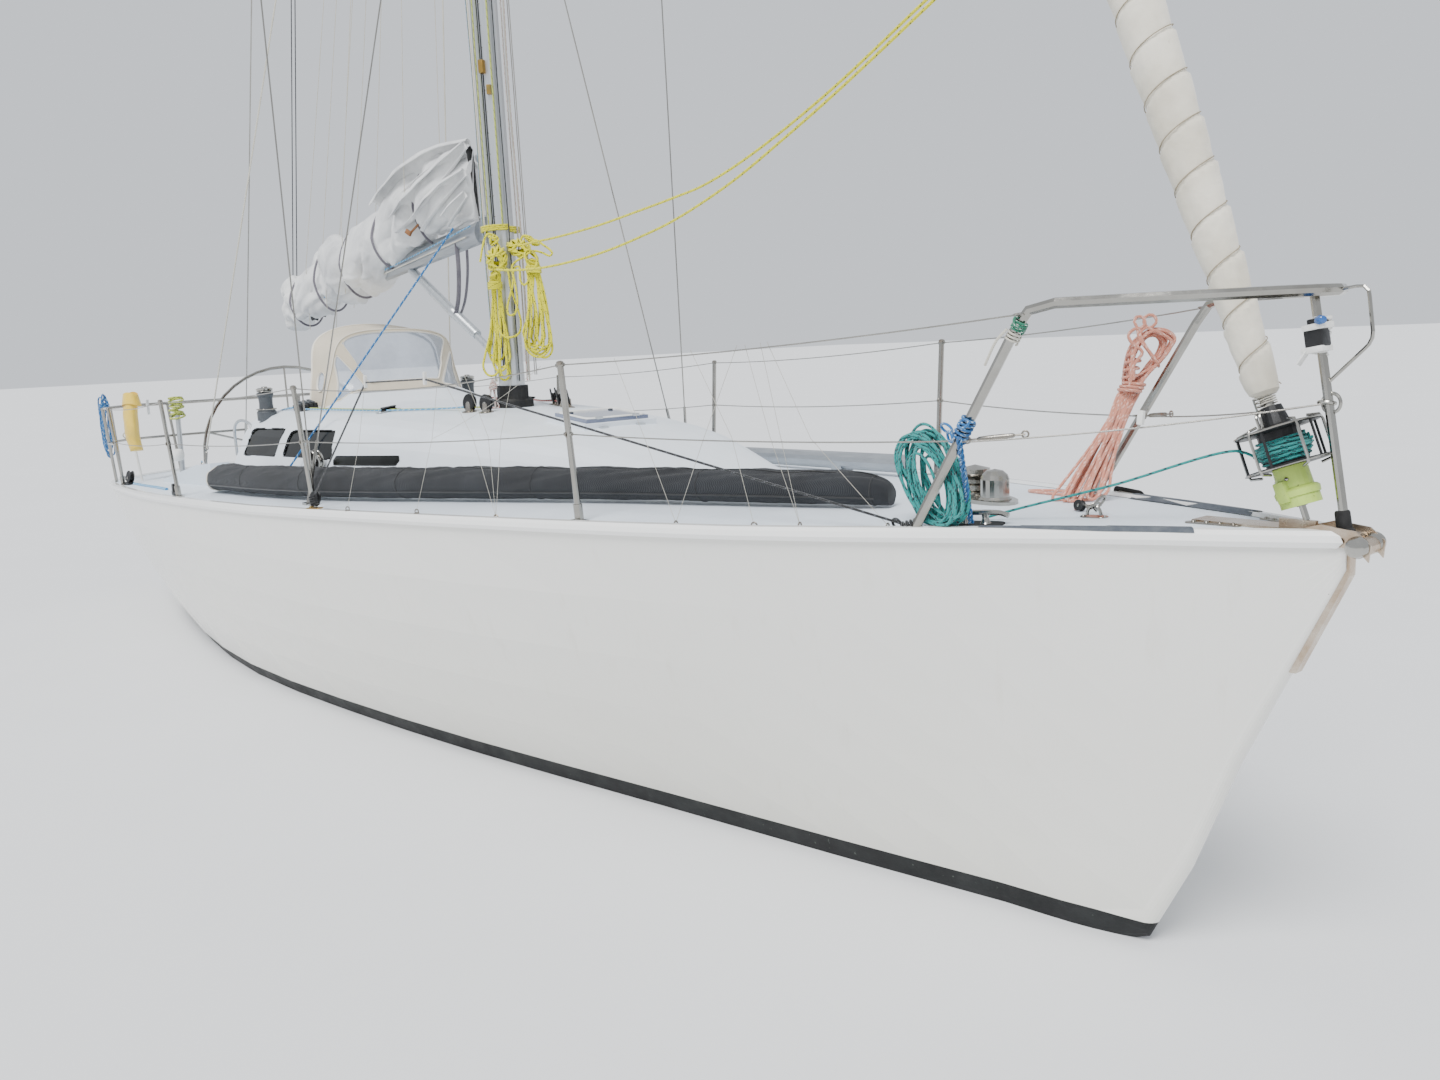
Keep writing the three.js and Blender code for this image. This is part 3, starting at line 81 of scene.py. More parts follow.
# Shapes: each is points, faces and a place on the rope's lay for every corner of every face
def spot(aft, y, z):
    return Vector((stemX - aft, y, z))


def spots(*places):
    return [spot(*p) for p in places]


def joined(shapes):
    points, faces, lays = [], [], []
    for p, f, lay in shapes:
        start = len(points)
        points += p
        faces += [[i + start for i in face] for face in f]
        lays += lay
    return points, faces, lays


def turnAngles(count, extra=0):
    return [2 * pi * i / count for i in range(count + extra)]


def between(a, b, t):
    return [p + (q - p) * t for p, q in zip(a, b)]


def noLay(points, faces):
    return list(points), faces, [(0.0, 0.0)] * sum(len(f) for f in faces)


def placed(shape, matrix):
    points, faces, lays = shape
    return [matrix @ Vector(p) for p in points], faces, lays


# A matrix that stands a shape's z along an axis, with its x as near as can be to another direction
def standing(at, axis=(0, 0, 1), toward=(1, 0, 0)):
    z = Vector(axis).normalized()
    x = Vector(toward)
    x = x - z * x.dot(z)
    if x.length < 1e-4:
        x = Vector((0, 1, 0)) - z * z.y
    x.normalize()
    turn = Matrix((x, z.cross(x), z)).transposed().to_4x4()
    return Matrix.Translation(at) @ turn


# A smooth line through points, its corners rounded as a rope's are
def smoothLine(points, step=0.02):
    known = [Vector(p) for p in points]
    known = [known[0] * 2 - known[1]] + known + [known[-1] * 2 - known[-2]]
    line = []
    for a, b, c, d in zip(known, known[1:], known[2:], known[3:]):
        knots = [0]
        for p, q in ((a, b), (b, c), (c, d)):
            knots.append(knots[-1] + max((q - p).length, 1e-6) ** 0.5)
        count = max(1, ceil((c - b).length / step))
        for i in range(count):
            t = knots[1] + (knots[2] - knots[1]) * i / count
            level = [a, b, c, d]
            for depth in (1, 2, 3):
                nextLevel = []
                for k in range(len(level) - 1):
                    low, high = (k, k + depth) if depth < 3 else (1, 2)
                    share = (t - knots[low]) / (knots[high] - knots[low])
                    nextLevel.append(level[k] * (1 - share) + level[k + 1] * share)
                level = nextLevel
            line.append(level[0])
    line.append(known[-2])
    return line


def lineLength(line):
    return sum((b - a).length for a, b in zip(line, line[1:]))


# The same line with a set number of evenly spaced points
def spaced(line, count):
    total = lineLength(line)
    out, walked, k = [line[0]], 0.0, 0
    for i in range(1, count - 1):
        goal = total * i / (count - 1)
        while k < len(line) - 2 and walked + (line[k + 1] - line[k]).length < goal:
            walked += (line[k + 1] - line[k]).length
            k += 1
        gap = max((line[k + 1] - line[k]).length, 1e-9)
        out.append(line[k].lerp(line[k + 1], min(1, (goal - walked) / gap)))
    return out + [line[-1]]


# A tube round a line. The radius is one number, or one for each point of the line.
def tubeShape(line, radius, sides=8, closed=False, flat=1.0):
    line = [Vector(p) for p in line]
    count = len(line)
    radii = radius if isinstance(radius, (list, tuple)) else [radius] * count
    tangents = []
    for i in range(count):
        a = line[i - 1] if i or closed else line[0]
        b = line[(i + 1) % count] if i + 1 < count or closed else line[-1]
        tangents.append((b - a).normalized())
    normal = tangents[0].cross(up)
    if normal.length < 1e-3:
        normal = tangents[0].cross(Vector((0, 1, 0)))
    normal.normalize()
    points, alongs, along = [], [], 0.0
    for i in range(count):
        if i:
            normal = tangents[i - 1].rotation_difference(tangents[i]) @ normal
            along += (line[i] - line[i - 1]).length
        other = tangents[i].cross(normal)
        alongs.append(along)
        for a in turnAngles(sides):
            points.append(line[i] + radii[i] * (normal * cos(a) + other * (sin(a) * flat)))
    faces, lays = [], []
    for i in range(count if closed else count - 1):
        j = (i + 1) % count
        ahead = alongs[j] if j else along + (line[0] - line[-1]).length
        for k in range(sides):
            m = (k + 1) % sides
            faces.append([i * sides + k, i * sides + m, j * sides + m, j * sides + k])
            lays += [(k / sides, alongs[i]), ((k + 1) / sides, alongs[i]), ((k + 1) / sides, ahead),
                (k / sides, ahead)]
    if not closed:
        for ring, start in ((range(sides - 1, -1, -1), 0), (range(sides), (count - 1) * sides)):
            faces.append([start + k for k in ring])
            lays += [(0, alongs[0 if start == 0 else -1])] * sides
    return points, faces, lays


def ringLine(centre, axis, radius, count=32, turns=1.0, rise=0.0, squash=1.0, start=0.0, toward=(1, 0, 0)):
    frameOf = standing(centre, axis, toward)
    line = []
    for i in range(int(count * turns) + 1):
        a = start + 2 * pi * i / count
        line.append(frameOf @ Vector((radius * cos(a), radius * squash * sin(a), rise * i / count)))
    return line


def ringShape(centre, axis, radius, thick, count=28, sides=8, squash=1.0, toward=(1, 0, 0)):
    return tubeShape(ringLine(centre, axis, radius, count, squash=squash, toward=toward)[:-1],
        thick, sides, True)


# Profile of [radius, height], turned round an axis
def turnedShape(profile, at, axis=(0, 0, 1), sides=24, toward=(1, 0, 0)):
    frameOf = standing(at, axis, toward)
    rows = [[frameOf @ Vector((r * cos(a), r * sin(a), h)) for a in turnAngles(sides)] for r, h in profile]
    return capped(gridShape(rows, True), sides)


def fromBmesh(bm):
    bm.verts.ensure_lookup_table()
    shape = noLay([v.co.copy() for v in bm.verts], [[v.index for v in f.verts] for f in bm.faces])
    bm.free()
    return shape


# A block with rounded edges
def blockShape(size, at, axis=(0, 0, 1), toward=(1, 0, 0), edge=0.25):
    bm = bmesh.new()
    bmesh.ops.create_cube(bm, size=1)
    for v in bm.verts:
        v.co = Vector((v.co.x * size[0], v.co.y * size[1], v.co.z * size[2]))
    bmesh.ops.bevel(bm, geom=bm.edges[:], offset=min(size) * edge, segments=2, profile=0.7, affect="EDGES")
    bm.normal_update()
    bm.verts.index_update()
    return placed(fromBmesh(bm), standing(at, axis, toward))


# A plate cut to an outline of [x, y] with its edges eased, its underside on its place
def plateShape(outline, thick, at, axis=(0, 0, 1), toward=(1, 0, 0), edge=0.3):
    inner = min(thick * edge, 0.004)
    middle = Vector((sum(p[0] for p in outline), sum(p[1] for p in outline))) / len(outline)
    layers = []
    for drop, inset in ((0, 0), (thick - inner, 0), (thick, inner)):
        ring = []
        for p in outline:
            q = Vector(p) - middle
            ring.append((*(middle + q * max(0.05, 1 - inset / max(q.length, 1e-6))), drop))
        layers.append(ring)
    count = len(outline)
    points = [Vector(p) for ring in layers for p in ring]
    faces = [list(range(count - 1, -1, -1)), [2 * count + k for k in range(count)]]
    for i in range(2):
        for k in range(count):
            m = (k + 1) % count
            faces.append([i * count + k, i * count + m, (i + 1) * count + m, (i + 1) * count + k])
    return placed(noLay(points, faces), standing(at, axis, toward))


def roundedOutline(long, wide, corner, steps=5):
    outline = []
    for cx, cy, start in ((1, 1, 0), (-1, 1, 90), (-1, -1, 180), (1, -1, 270)):
        for i in range(steps + 1):
            a = radians(start + 90 * i / steps)
            outline.append((cx * (long / 2 - corner) + corner * cos(a),
                cy * (wide / 2 - corner) + corner * sin(a)))
    return outline


def gridShape(rows, closed=False):
    wide = len(rows[0])
    points = [p for row in rows for p in row]
    faces = []
    for i in range(len(rows) - 1):
        for k in range(wide if closed else wide - 1):
            m = (k + 1) % wide
            faces.append([i * wide + k, i * wide + m, (i + 1) * wide + m, (i + 1) * wide + k])
    return noLay(points, faces)


def capped(shape, wide):
    points, faces, _ = shape
    last = len(points) - wide
    return noLay(points, faces + [list(range(wide - 1, -1, -1)), [last + k for k in range(wide)]])


def addPiece(name, shape, material, body="hull", crease=35, slot=None):
    points, faces, lays = joined(shape) if isinstance(shape, list) else shape
    mesh = bpy.data.meshes.new(name)
    mesh.from_pydata([tuple(p) for p in points], [], faces)
    layer = mesh.uv_layers.new(name="lay")
    layer.data.foreach_set("uv", [v for lay in lays for v in lay])
    mesh.shade_smooth()
    mesh.set_sharp_from_angle(angle=radians(crease))
    mesh.materials.append(material)
    piece = bpy.data.objects.new(name, mesh)
    bpy.context.scene.collection.objects.link(piece)
    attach(piece, body)
    slot = slot or usualSlot.get(material.name)
    return piece


# What carries a fitting, found by looking straight down or from the side
def treeOf(*names):
    points, faces = [], []
    for name in names:
        start = len(points)
        points += [v.co.copy() for v in nodes[name].data.vertices]
        faces += [[i + start for i in p.vertices] for p in nodes[name].data.polygons]
    return BVHTree.FromPolygons(points, faces)


deckTree = treeOf("deck", "coachroof", "cockpit", "gunwale", "windlass", "stem_fitting")
roofTree = treeOf("coachroof", "starboard_mid_window", "starboard_aft_window", "port_mid_window",
    "port_aft_window")


def deckAt(aft, y, lift=0.0):
    place = deckTree.ray_cast(Vector((stemX - aft, y, 2.4)), -up)[0]
    return Vector((stemX - aft, y, place.z if place else 1.0)) + up * lift


def deckFace(aft, y):
    return deckTree.ray_cast(Vector((stemX - aft, y, 2.4)), -up)[1]


def roofSide(aft, z, side, lift=0.0):
    for nudge in (0, 0.0012, -0.0017, 0.004, -0.006, 0.012):
        start = Vector((stemX - aft + nudge, side * 2.0, z + nudge))
        place, normal, _, _ = roofTree.ray_cast(start, Vector((0, -side, 0)))
        if place:
            return place + normal * lift
    return Vector((stemX - aft, side, z))


# Finishes
def tint(colour):
    return tuple((c / 255) ** 2.2 for c in colour) + (1.0,)


def addNode(tree, kind, inputs=None, **settings):
    node = tree.nodes.new(kind)
    for key, value in settings.items():
        setattr(node, key, value)
    for key, value in (inputs or {}).items():
        node.inputs[key].default_value = value
    return node


def startFinish(name, stretch=(1, 1, 1)):
    material = bpy.data.materials.new(name)
    material.use_nodes = True
    tree = material.node_tree
    where = addNode(tree, "ShaderNodeTexCoord")
    scaled = addNode(tree, "ShaderNodeMapping", {"Scale": stretch})
    tree.links.new(where.outputs["Object"], scaled.inputs["Vector"])
    return material, tree, tree.nodes["Principled BSDF"], scaled.outputs["Vector"]


def noiseOf(tree, vector, scale, detail=5, rough=0.55, twist=0.0):
    node = addNode(tree, "ShaderNodeTexNoise", {"Scale": scale, "Detail": detail, "Roughness": rough,
        "Distortion": twist})
    tree.links.new(vector, node.inputs["Vector"])
    return node.outputs["Fac"]


def ranged(tree, value, low, high, outLow, outHigh):
    node = addNode(tree, "ShaderNodeMapRange", {"From Min": low, "From Max": high, "To Min": outLow,
        "To Max": outHigh})
    tree.links.new(value, node.inputs["Value"])
    return node.outputs["Result"]


def mixed(tree, share, a, b):
    node = addNode(tree, "ShaderNodeMix", data_type="RGBA")
    if isinstance(share, float):
        node.inputs["Factor"].default_value = share
    else:
        tree.links.new(share, node.inputs["Factor"])
    for socket, value in ((node.inputs[6], a), (node.inputs[7], b)):
        if isinstance(value, tuple):
            socket.default_value = tint(value)
        else:
            tree.links.new(value, socket)
    return node.outputs[2]


def sums(tree, kind, a, b=0.0):
    node = addNode(tree, "ShaderNodeMath", operation=kind)
    for socket, value in zip(node.inputs, (a, b)):
        if isinstance(value, (int, float)):
            socket.default_value = value
        else:
            tree.links.new(value, socket)
    return node.outputs[0]


def times(tree, a, b):
    return sums(tree, "MULTIPLY", a, b)


def plus(tree, a, b):
    return sums(tree, "ADD", a, b)


def bumped(tree, shader, height, distance, strength=1.0):
    node = addNode(tree, "ShaderNodeBump", {"Distance": distance, "Strength": strength})
    tree.links.new(height, node.inputs["Height"])
    tree.links.new(node.outputs["Normal"], shader.inputs["Normal"])


def setShader(shader, **values):
    names = {"metal": "Metallic", "coat": "Coat Weight", "coatRough": "Coat Roughness",
        "sheen": "Sheen Weight", "sheenRough": "Sheen Roughness", "glass": "Transmission Weight",
        "alpha": "Alpha", "ior": "IOR"}
    for key, value in values.items():
        shader.inputs[names[key]].default_value = value


# Paint, plastic, metal or cloth: two colours in soft patches, a varied gloss and a fine grain
def madeOf(name, main, worn, patch=3.0, share=0.4, rough=(0.3, 0.45), grain=(300, 0.0004), stretch=(1, 1, 1),
        specks=None, weave=None, **values):
    material, tree, shader, vector = startFinish(name, stretch)
    patches = ranged(tree, noiseOf(tree, vector, patch, 7, 0.6), 0.38, 0.72, 0.0, share)
    colour = mixed(tree, patches, main, worn)
    if specks:
        speck, speckScale, low = specks
        specked = ranged(tree, noiseOf(tree, vector, speckScale, 3, 0.5), low, low + 0.05, 0.0, 0.75)
        colour = mixed(tree, specked, colour, speck)
    tree.links.new(colour, shader.inputs["Base Color"])
    gloss = ranged(tree, noiseOf(tree, vector, patch * 2.3, 5, 0.65), 0.3, 0.7, rough[0], rough[1])
    tree.links.new(gloss, shader.inputs["Roughness"])
    height = noiseOf(tree, vector, grain[0], 4, 0.6)
    distance = grain[1]
    if weave:
        pitch, depth = weave
        threads = []
        for axis in "XYZ":
            wave = addNode(tree, "ShaderNodeTexWave",
                {"Scale": 0.314 / pitch, "Distortion": 0.6, "Detail": 1.0}, bands_direction=axis)
            tree.links.new(vector, wave.inputs["Vector"])
            threads.append(wave.outputs["Fac"])
        cross = times(tree, times(tree, threads[0], threads[1]), threads[2])
        height = plus(tree, times(tree, cross, 2.0), height)
        distance = depth
    bumped(tree, shader, height, distance)
    setShader(shader, **values)
    return material


# Braided rope, or laid strands if it isn't braided, from the lay that the tube carries, with painted shade in
# the grooves
def ropeFinish(name, main, groove, fleck, thick, flecks=0.0, braided=True, rough=0.75, sheen=0.3, **values):
    material, tree, shader, vector = startFinish(name)
    lay = addNode(tree, "ShaderNodeUVMap", uv_map="lay")
    parts = addNode(tree, "ShaderNodeSeparateXYZ")
    tree.links.new(lay.outputs["UV"], parts.inputs[0])
    around, along = parts.outputs[0], parts.outputs[1]
    pace = sums(tree, "DIVIDE", along, thick * 2.4)
    fold = pi * 2
    a = sums(tree, "SINE", times(tree, plus(tree, times(tree, around, 3.0), pace), fold))
    height = sums(tree, "ABSOLUTE", a)
    if braided:
        b = sums(tree, "SINE", times(tree, sums(tree, "SUBTRACT", times(tree, around, 3.0), pace), fold))
        height = times(tree, height, sums(tree, "ABSOLUTE", b))
    # painted shade: the groove colour darkens the hollows between strands; the dirty patches take the same
    # colour
    grooveShade = ranged(tree, height, 0.0, 0.28, 0.75, 0.0)
    soiled = ranged(tree, noiseOf(tree, vector, 9.0, 6, 0.6), 0.45, 0.75, 0.0, 0.35)
    colour = mixed(tree, soiled, mixed(tree, grooveShade, main, groove), groove)
    if flecks:
        spiral = times(tree, plus(tree, times(tree, around, 1.0), times(tree, pace, 0.5)), fold)
        counter = times(tree, sums(tree, "SUBTRACT", times(tree, around, 3.0), pace), fold)
        seen = times(tree, sums(tree, "GREATER_THAN", sums(tree, "SINE", spiral), 1 - flecks),
            sums(tree, "GREATER_THAN", sums(tree, "SINE", counter), 0.1))
        colour = mixed(tree, seen, colour, fleck)
    tree.links.new(colour, shader.inputs["Base Color"])
    tree.links.new(ranged(tree, height, 0.0, 1.0, min(1.0, rough + 0.15), rough), shader.inputs["Roughness"])
    fuzz = times(tree, noiseOf(tree, vector, 700, 2, 0.6), 0.35)
    bumped(tree, shader, plus(tree, height, fuzz), thick * 0.12)
    setShader(shader, sheen=sheen, **values)
    return material


yellowRope = ropeFinish("yellow_braid", (236, 230, 10), (196, 186, 4), (60, 60, 20), 0.012, 0.10)
pinkRope = ropeFinish("salmon_braid", (222, 150, 126), (178, 104, 86), (236, 190, 172), 0.010, 0.5, sheen=0.4)
tealRope = ropeFinish("teal_braid", (26, 152, 146), (12, 92, 96), (10, 44, 52), 0.009, 0.45)
blueRope = ropeFinish("blue_braid", (30, 112, 176), (16, 66, 118), (170, 200, 220), 0.009, 0.3)
skyRope = ropeFinish("pale_blue_braid", (72, 160, 206), (34, 104, 158), (220, 232, 240), 0.009, 0.4)
blackRope = ropeFinish("black_braid", (20, 21, 24), (8, 9, 10), (90, 92, 96), 0.009, 0.2, sheen=0.4)
creamRope = ropeFinish("cream_braid", (222, 218, 204), (168, 160, 142), (120, 60, 60), 0.008, 0.0)
candyRope = ropeFinish("white_red_braid", (226, 216, 208), (170, 150, 140), (168, 66, 58), 0.010, 0.5)
limeRope = ropeFinish("lime_braid", (196, 206, 92), (130, 140, 60), (40, 60, 40), 0.009, 0.35)
redRope = ropeFinish("red_braid", (176, 52, 54), (104, 26, 30), (226, 214, 206), 0.008, 0.35)
greenRope = ropeFinish("green_braid", (24, 128, 96), (12, 76, 60), (220, 226, 220), 0.008, 0.3)
wireRope = ropeFinish("wire_strand", (176, 173, 166), (84, 80, 76), (120, 112, 100), 0.005, 0.0, False, 0.28,
    sheen=0.0, metal=1.0)

# The polished steel's colour is darker than bare stainless: painted shade for the darker surroundings that it
# would reflect
steel = madeOf("polished_steel", (168, 166, 160), (122, 116, 106), 5, 0.5, (0.10, 0.24),
    (900, 0.00006), metal=1.0)
dullSteel = madeOf("weathered_steel", (156, 152, 145), (122, 104, 82), 14, 0.7, (0.22, 0.42),
    (700, 0.0002), metal=1.0)
brassSteel = madeOf("stained_plate", (206, 194, 178), (168, 140, 112), 11, 0.9, (0.18, 0.4),
    (600, 0.0003), metal=1.0)
alloy = madeOf("anodised_alloy", (206, 210, 212), (176, 180, 184), 4, 0.6, (0.28, 0.42), (500, 0.0001),
    (9, 9, 0.6), metal=0.9)
boomAlloy = madeOf("boom_alloy", (170, 174, 178), (136, 140, 146), 4, 0.6, (0.3, 0.46), (500, 0.0001),
    (0.6, 9, 9), metal=0.75)
greyPlastic = madeOf("grey_plastic", (78, 82, 86), (56, 58, 62), 20, 0.6, (0.42, 0.6), (900, 0.0002))
darkPlastic = madeOf("black_plastic", (17, 18, 20), (44, 44, 45), 18, 0.5, (0.3, 0.6), (900, 0.0002))
rubber = madeOf("black_rubber", (16, 16, 18), (48, 47, 45), 16, 0.6, (0.6, 0.85), (500, 0.0006))
whitePlastic = madeOf("white_plastic", (236, 236, 232), (206, 204, 196), 12, 0.6, (0.3, 0.5), (700, 0.0001))
tape = madeOf("white_tape", (238, 238, 234), (200, 198, 192), 30, 0.7, (0.4, 0.65), (240, 0.0012), sheen=0.2)
limeAlloy = madeOf("lime_anodised", (186, 214, 96), (150, 176, 84), 16, 0.7, (0.38, 0.6), (500, 0.0003),
    specks=((96, 100, 60), 90, 0.68), coat=0.2)
deckPaint = madeOf("deck_paint", (222, 230, 238), (204, 213, 222), 2.2, 0.6, (0.45, 0.62), (420, 0.0007),
    specks=((176, 182, 186), 60, 0.74))
roofPaint = madeOf("roof_paint", (228, 234, 240), (212, 219, 226), 1.6, 0.6, (0.34, 0.5), (420, 0.0003),
    specks=((186, 190, 192), 50, 0.76))
gripPaint = madeOf("grip_strip", (82, 88, 96), (112, 116, 120), 22, 0.7, (0.8, 0.95), (1400, 0.0012))
bottomPaint = madeOf("bottom_paint", (14, 15, 17), (34, 38, 38), 3.5, 0.7, (0.55, 0.8), (160, 0.0008),
    specks=((78, 86, 78), 45, 0.7))
teak = madeOf("oiled_teak", (140, 96, 58), (96, 62, 36), 5, 0.8, (0.5, 0.7), (120, 0.0006), (1.2, 1.2, 22))
castIron = madeOf("cast_metal", (96, 100, 98), (62, 66, 66), 12, 0.7, (0.5, 0.7), (200, 0.0008), metal=0.4)
bronze = madeOf("bronze", (176, 134, 70), (96, 120, 84), 14, 0.6, (0.28, 0.5), (300, 0.0004), metal=1.0)
darkGlass = madeOf("smoked_acrylic", (8, 11, 9), (20, 24, 18), 3, 0.6, (0.10, 0.20), (40, 0.0002), ior=1.22)
hatchGlass = madeOf("hatch_acrylic", (96, 104, 128), (120, 128, 150), 5, 0.7, (0.05, 0.14), (60, 0.0002),
    coat=0.8, coatRough=0.05)
clearVinyl = madeOf("clear_vinyl", (176, 186, 200), (140, 150, 166), 4, 0.9, (0.06, 0.24), (14, 0.006),
    alpha=0.62, coat=0.5)
hoodCloth = madeOf("hood_canvas", (218, 206, 182), (196, 182, 158), 4, 0.6, (0.78, 0.92), (600, 0.0004),
    specks=((176, 166, 148), 28, 0.72), weave=(0.0022, 0.0006), sheen=0.4)
seamCloth = madeOf("hood_binding", (238, 232, 218), (210, 202, 184), 9, 0.6, (0.7, 0.85),
    (700, 0.0004), sheen=0.3)
# The sail's broad darker grey patches are partly dirt and partly painted shade for its folds
sailCloth = madeOf("sailcloth", (228, 228, 226), (180, 181, 183), 3.4, 0.95, (0.55, 0.75), (30, 0.003),
    specks=((176, 174, 170), 18, 0.74), sheen=0.3)
rollCloth = madeOf("rolled_sailcloth", (228, 222, 206), (198, 190, 170), 4.2, 0.95, (0.6, 0.8), (38, 0.002),
    specks=((186, 180, 166), 20, 0.74), sheen=0.3)
# dark brown thread for the genoa's lap edge: partly the edge's own colour, partly painted shade under each
# lapped turn
lapShadeThread = madeOf("lap_shade_thread", (150, 138, 116), (118, 106, 86), 16, 0.7, (0.7, 0.9), (600, 0.0003))
bagCloth = madeOf("black_canvas", (22, 24, 28), (40, 43, 48), 2.4, 0.8, (0.72, 0.9), (26, 0.005),
    specks=((74, 76, 80), 34, 0.76), weave=(0.003, 0.002), sheen=0.12)
bagBinding = madeOf("black_binding", (16, 17, 19), (40, 40, 42), 12, 0.6, (0.6, 0.8),
    (600, 0.0004), sheen=0.3)
webbing = madeOf("grey_webbing", (112, 108, 116), (86, 84, 92), 18, 0.6, (0.7, 0.9), (500, 0.0006), (1, 1, 1),
    weave=(0.003, 0.0008), sheen=0.3)
yellowCover = madeOf("yellow_vinyl", (238, 200, 62), (222, 190, 96), 7, 0.8, (0.35, 0.6), (18, 0.006),
    specks=((196, 160, 70), 26, 0.7), sheen=0.2)
blueLens = madeOf("blue_lens", (36, 84, 150), (60, 120, 180), 30, 0.6, (0.06, 0.16), (200, 0.0002), coat=0.6)


# Gelcoat: glossy cream, with painted shade darkening it lower down, and faint runs below the deck edge
def gelcoatFinish(name, main, low, streak):
    material, tree, shader, vector = startFinish(name)
    parts = addNode(tree, "ShaderNodeSeparateXYZ")
    tree.links.new(vector, parts.inputs[0])
    # painted shade: the colour darkens towards the bottom of the topsides
    height = ranged(tree, parts.outputs[2], 0.1, 1.15, 1.0, 0.0)
    cloud = noiseOf(tree, vector, 1.1, 6, 0.6)
    colour = mixed(tree, times(tree, height, cloud), main, low)
    runs = addNode(tree, "ShaderNodeMapping", {"Scale": (14, 14, 0.7)})
    tree.links.new(vector, runs.inputs["Vector"])
    runNoise = ranged(tree, noiseOf(tree, runs.outputs["Vector"], 1.0, 4, 0.6), 0.60, 0.80, 0.0, 0.16)
    colour = mixed(tree, runNoise, colour, streak)
    tree.links.new(colour, shader.inputs["Base Color"])
    tree.links.new(ranged(tree, noiseOf(tree, vector, 2.4, 5, 0.6), 0.3, 0.7, 0.13, 0.24),
        shader.inputs["Roughness"])
    wavy = plus(tree, times(tree, noiseOf(tree, vector, 1.6, 2, 0.5), 8.0),
        noiseOf(tree, vector, 260, 3, 0.5))
    bumped(tree, shader, wavy, 0.0004)
    setShader(shader, coat=0.5, coatRough=0.08)
    return material


gelcoat = gelcoatFinish("topside_gelcoat", (236, 235, 229), (222, 220, 208), (190, 182, 160))
# A lighter copy of the gelcoat: on the gunwale it is painted highlight along the rounded edge; the pedestal
# wears it too
lighterGelcoat = gelcoatFinish("lighter_gelcoat", (246, 246, 243), (236, 236, 230), (206, 200, 186))

slotFinish = {
    "gelcoat": gelcoat, "bottom_paint": bottomPaint, "deck_paint": deckPaint, "steel": steel, "alloy": alloy,
    "dark_window": darkGlass, "sailcloth": rollCloth, "canvas": bagCloth, "hood_cloth": hoodCloth,
    "dark_plastic": darkPlastic, "teak": teak, "cast_iron": castIron, "bronze": bronze,
    "lime_alloy": limeAlloy, "yellow_rope": yellowRope, "pink_rope": pinkRope, "teal_rope": tealRope,
}

# The slot that each finish has in the record, for the pieces that only the scene has
finishSlots = {
    "sailcloth": (rollCloth, sailCloth, lapShadeThread, creamRope),
    "hood_cloth": (hoodCloth, clearVinyl, seamCloth),
    "canvas": (bagCloth, bagBinding, webbing, blackRope, yellowCover), "steel": (steel, dullSteel, wireRope),
    "teal_rope": (tealRope, blueRope, skyRope, greenRope), "yellow_rope": (yellowRope, limeRope),
    "alloy": (alloy,), "pink_rope": (pinkRope, candyRope), "gelcoat": (whitePlastic, tape),
    "lime_alloy": (limeAlloy,), "teak": (teak,),
    "dark_plastic": (darkPlastic, greyPlastic, rubber, gripPaint), "dark_window": (darkGlass, blueLens),
    "bronze": (bronze,),
}
usualSlot = {finish.name: slot for slot, finishes in finishSlots.items() for finish in finishes}
# The gunwale's lighter gelcoat is painted highlight
nodeFinish = {"gunwale": lighterGelcoat, "coachroof": roofPaint, "companion_hatch": roofPaint, "boom": boomAlloy,
    "cockpit": deckPaint, "pedestal": lighterGelcoat, "stem_fitting": brassSteel, "mast_step": rubber,
    "fore_hatch": hatchGlass, "spinnaker_pole": boomAlloy, "starboard_winch": greyPlastic,
    "port_winch": greyPlastic}

roundNodes = ("pulpit", "pushpit", "hood_bow", "steering_wheel", "spinnaker_pole", "boom", "mast", "windlass")


def dressNodes():
    slotOf = {row["node"]: row["material_slot"] for row in frame["record"]["subparts"]}
    for name, node in nodes.items():
        finish = nodeFinish.get(name) or slotFinish[slotOf[name]]
        node.data.materials.clear()
        node.data.materials.append(finish)
        node.data.shade_smooth()
        node.data.set_sharp_from_angle(angle=radians(52 if name in roundNodes else 32))


dressNodes()
print("finishes on all nodes")


# Ropes that lie free: hanks, coil and sheets. A hank's rows are its middle line, from the top down.
hankRows = {
    "starboard_mast_hank": [(4.462, -.086, 2.665), (4.455, -.092, 2.570), (4.452, -.104, 2.480),
        (4.456, -.108, 2.400), (4.480, -.102, 2.300), (4.500, -.096, 2.240), (4.520, -.098, 2.080),
        (4.545, -.116, 1.930), (4.550, -.118, 1.865), (4.550, -.118, 1.842)],
    "port_mast_hank": [(4.448, .026, 2.660), (4.424, .024, 2.570), (4.372, .022, 2.480), (4.356, .022, 2.400),
        (4.346, .026, 2.300), (4.330, .030, 2.180), (4.330, .034, 2.060), (4.334, .034, 1.970),
        (4.336, .034, 1.935)],
    "mast_foot_hank": [(4.525, -.140, 1.834), (4.530, -.142, 1.805), (4.540, -.144, 1.760),
        (4.548, -.146, 1.690), (4.550, -.146, 1.640)],
    "bow_hank": [(.925, .520, 2.010), (.915, .505, 1.960), (.905, .470, 1.880), (.918, .430, 1.790),
        (.930, .390, 1.730), (.948, .310, 1.600), (.968, .220, 1.480), (.978, .175, 1.420),
        (.980, .165, 1.370)],
}
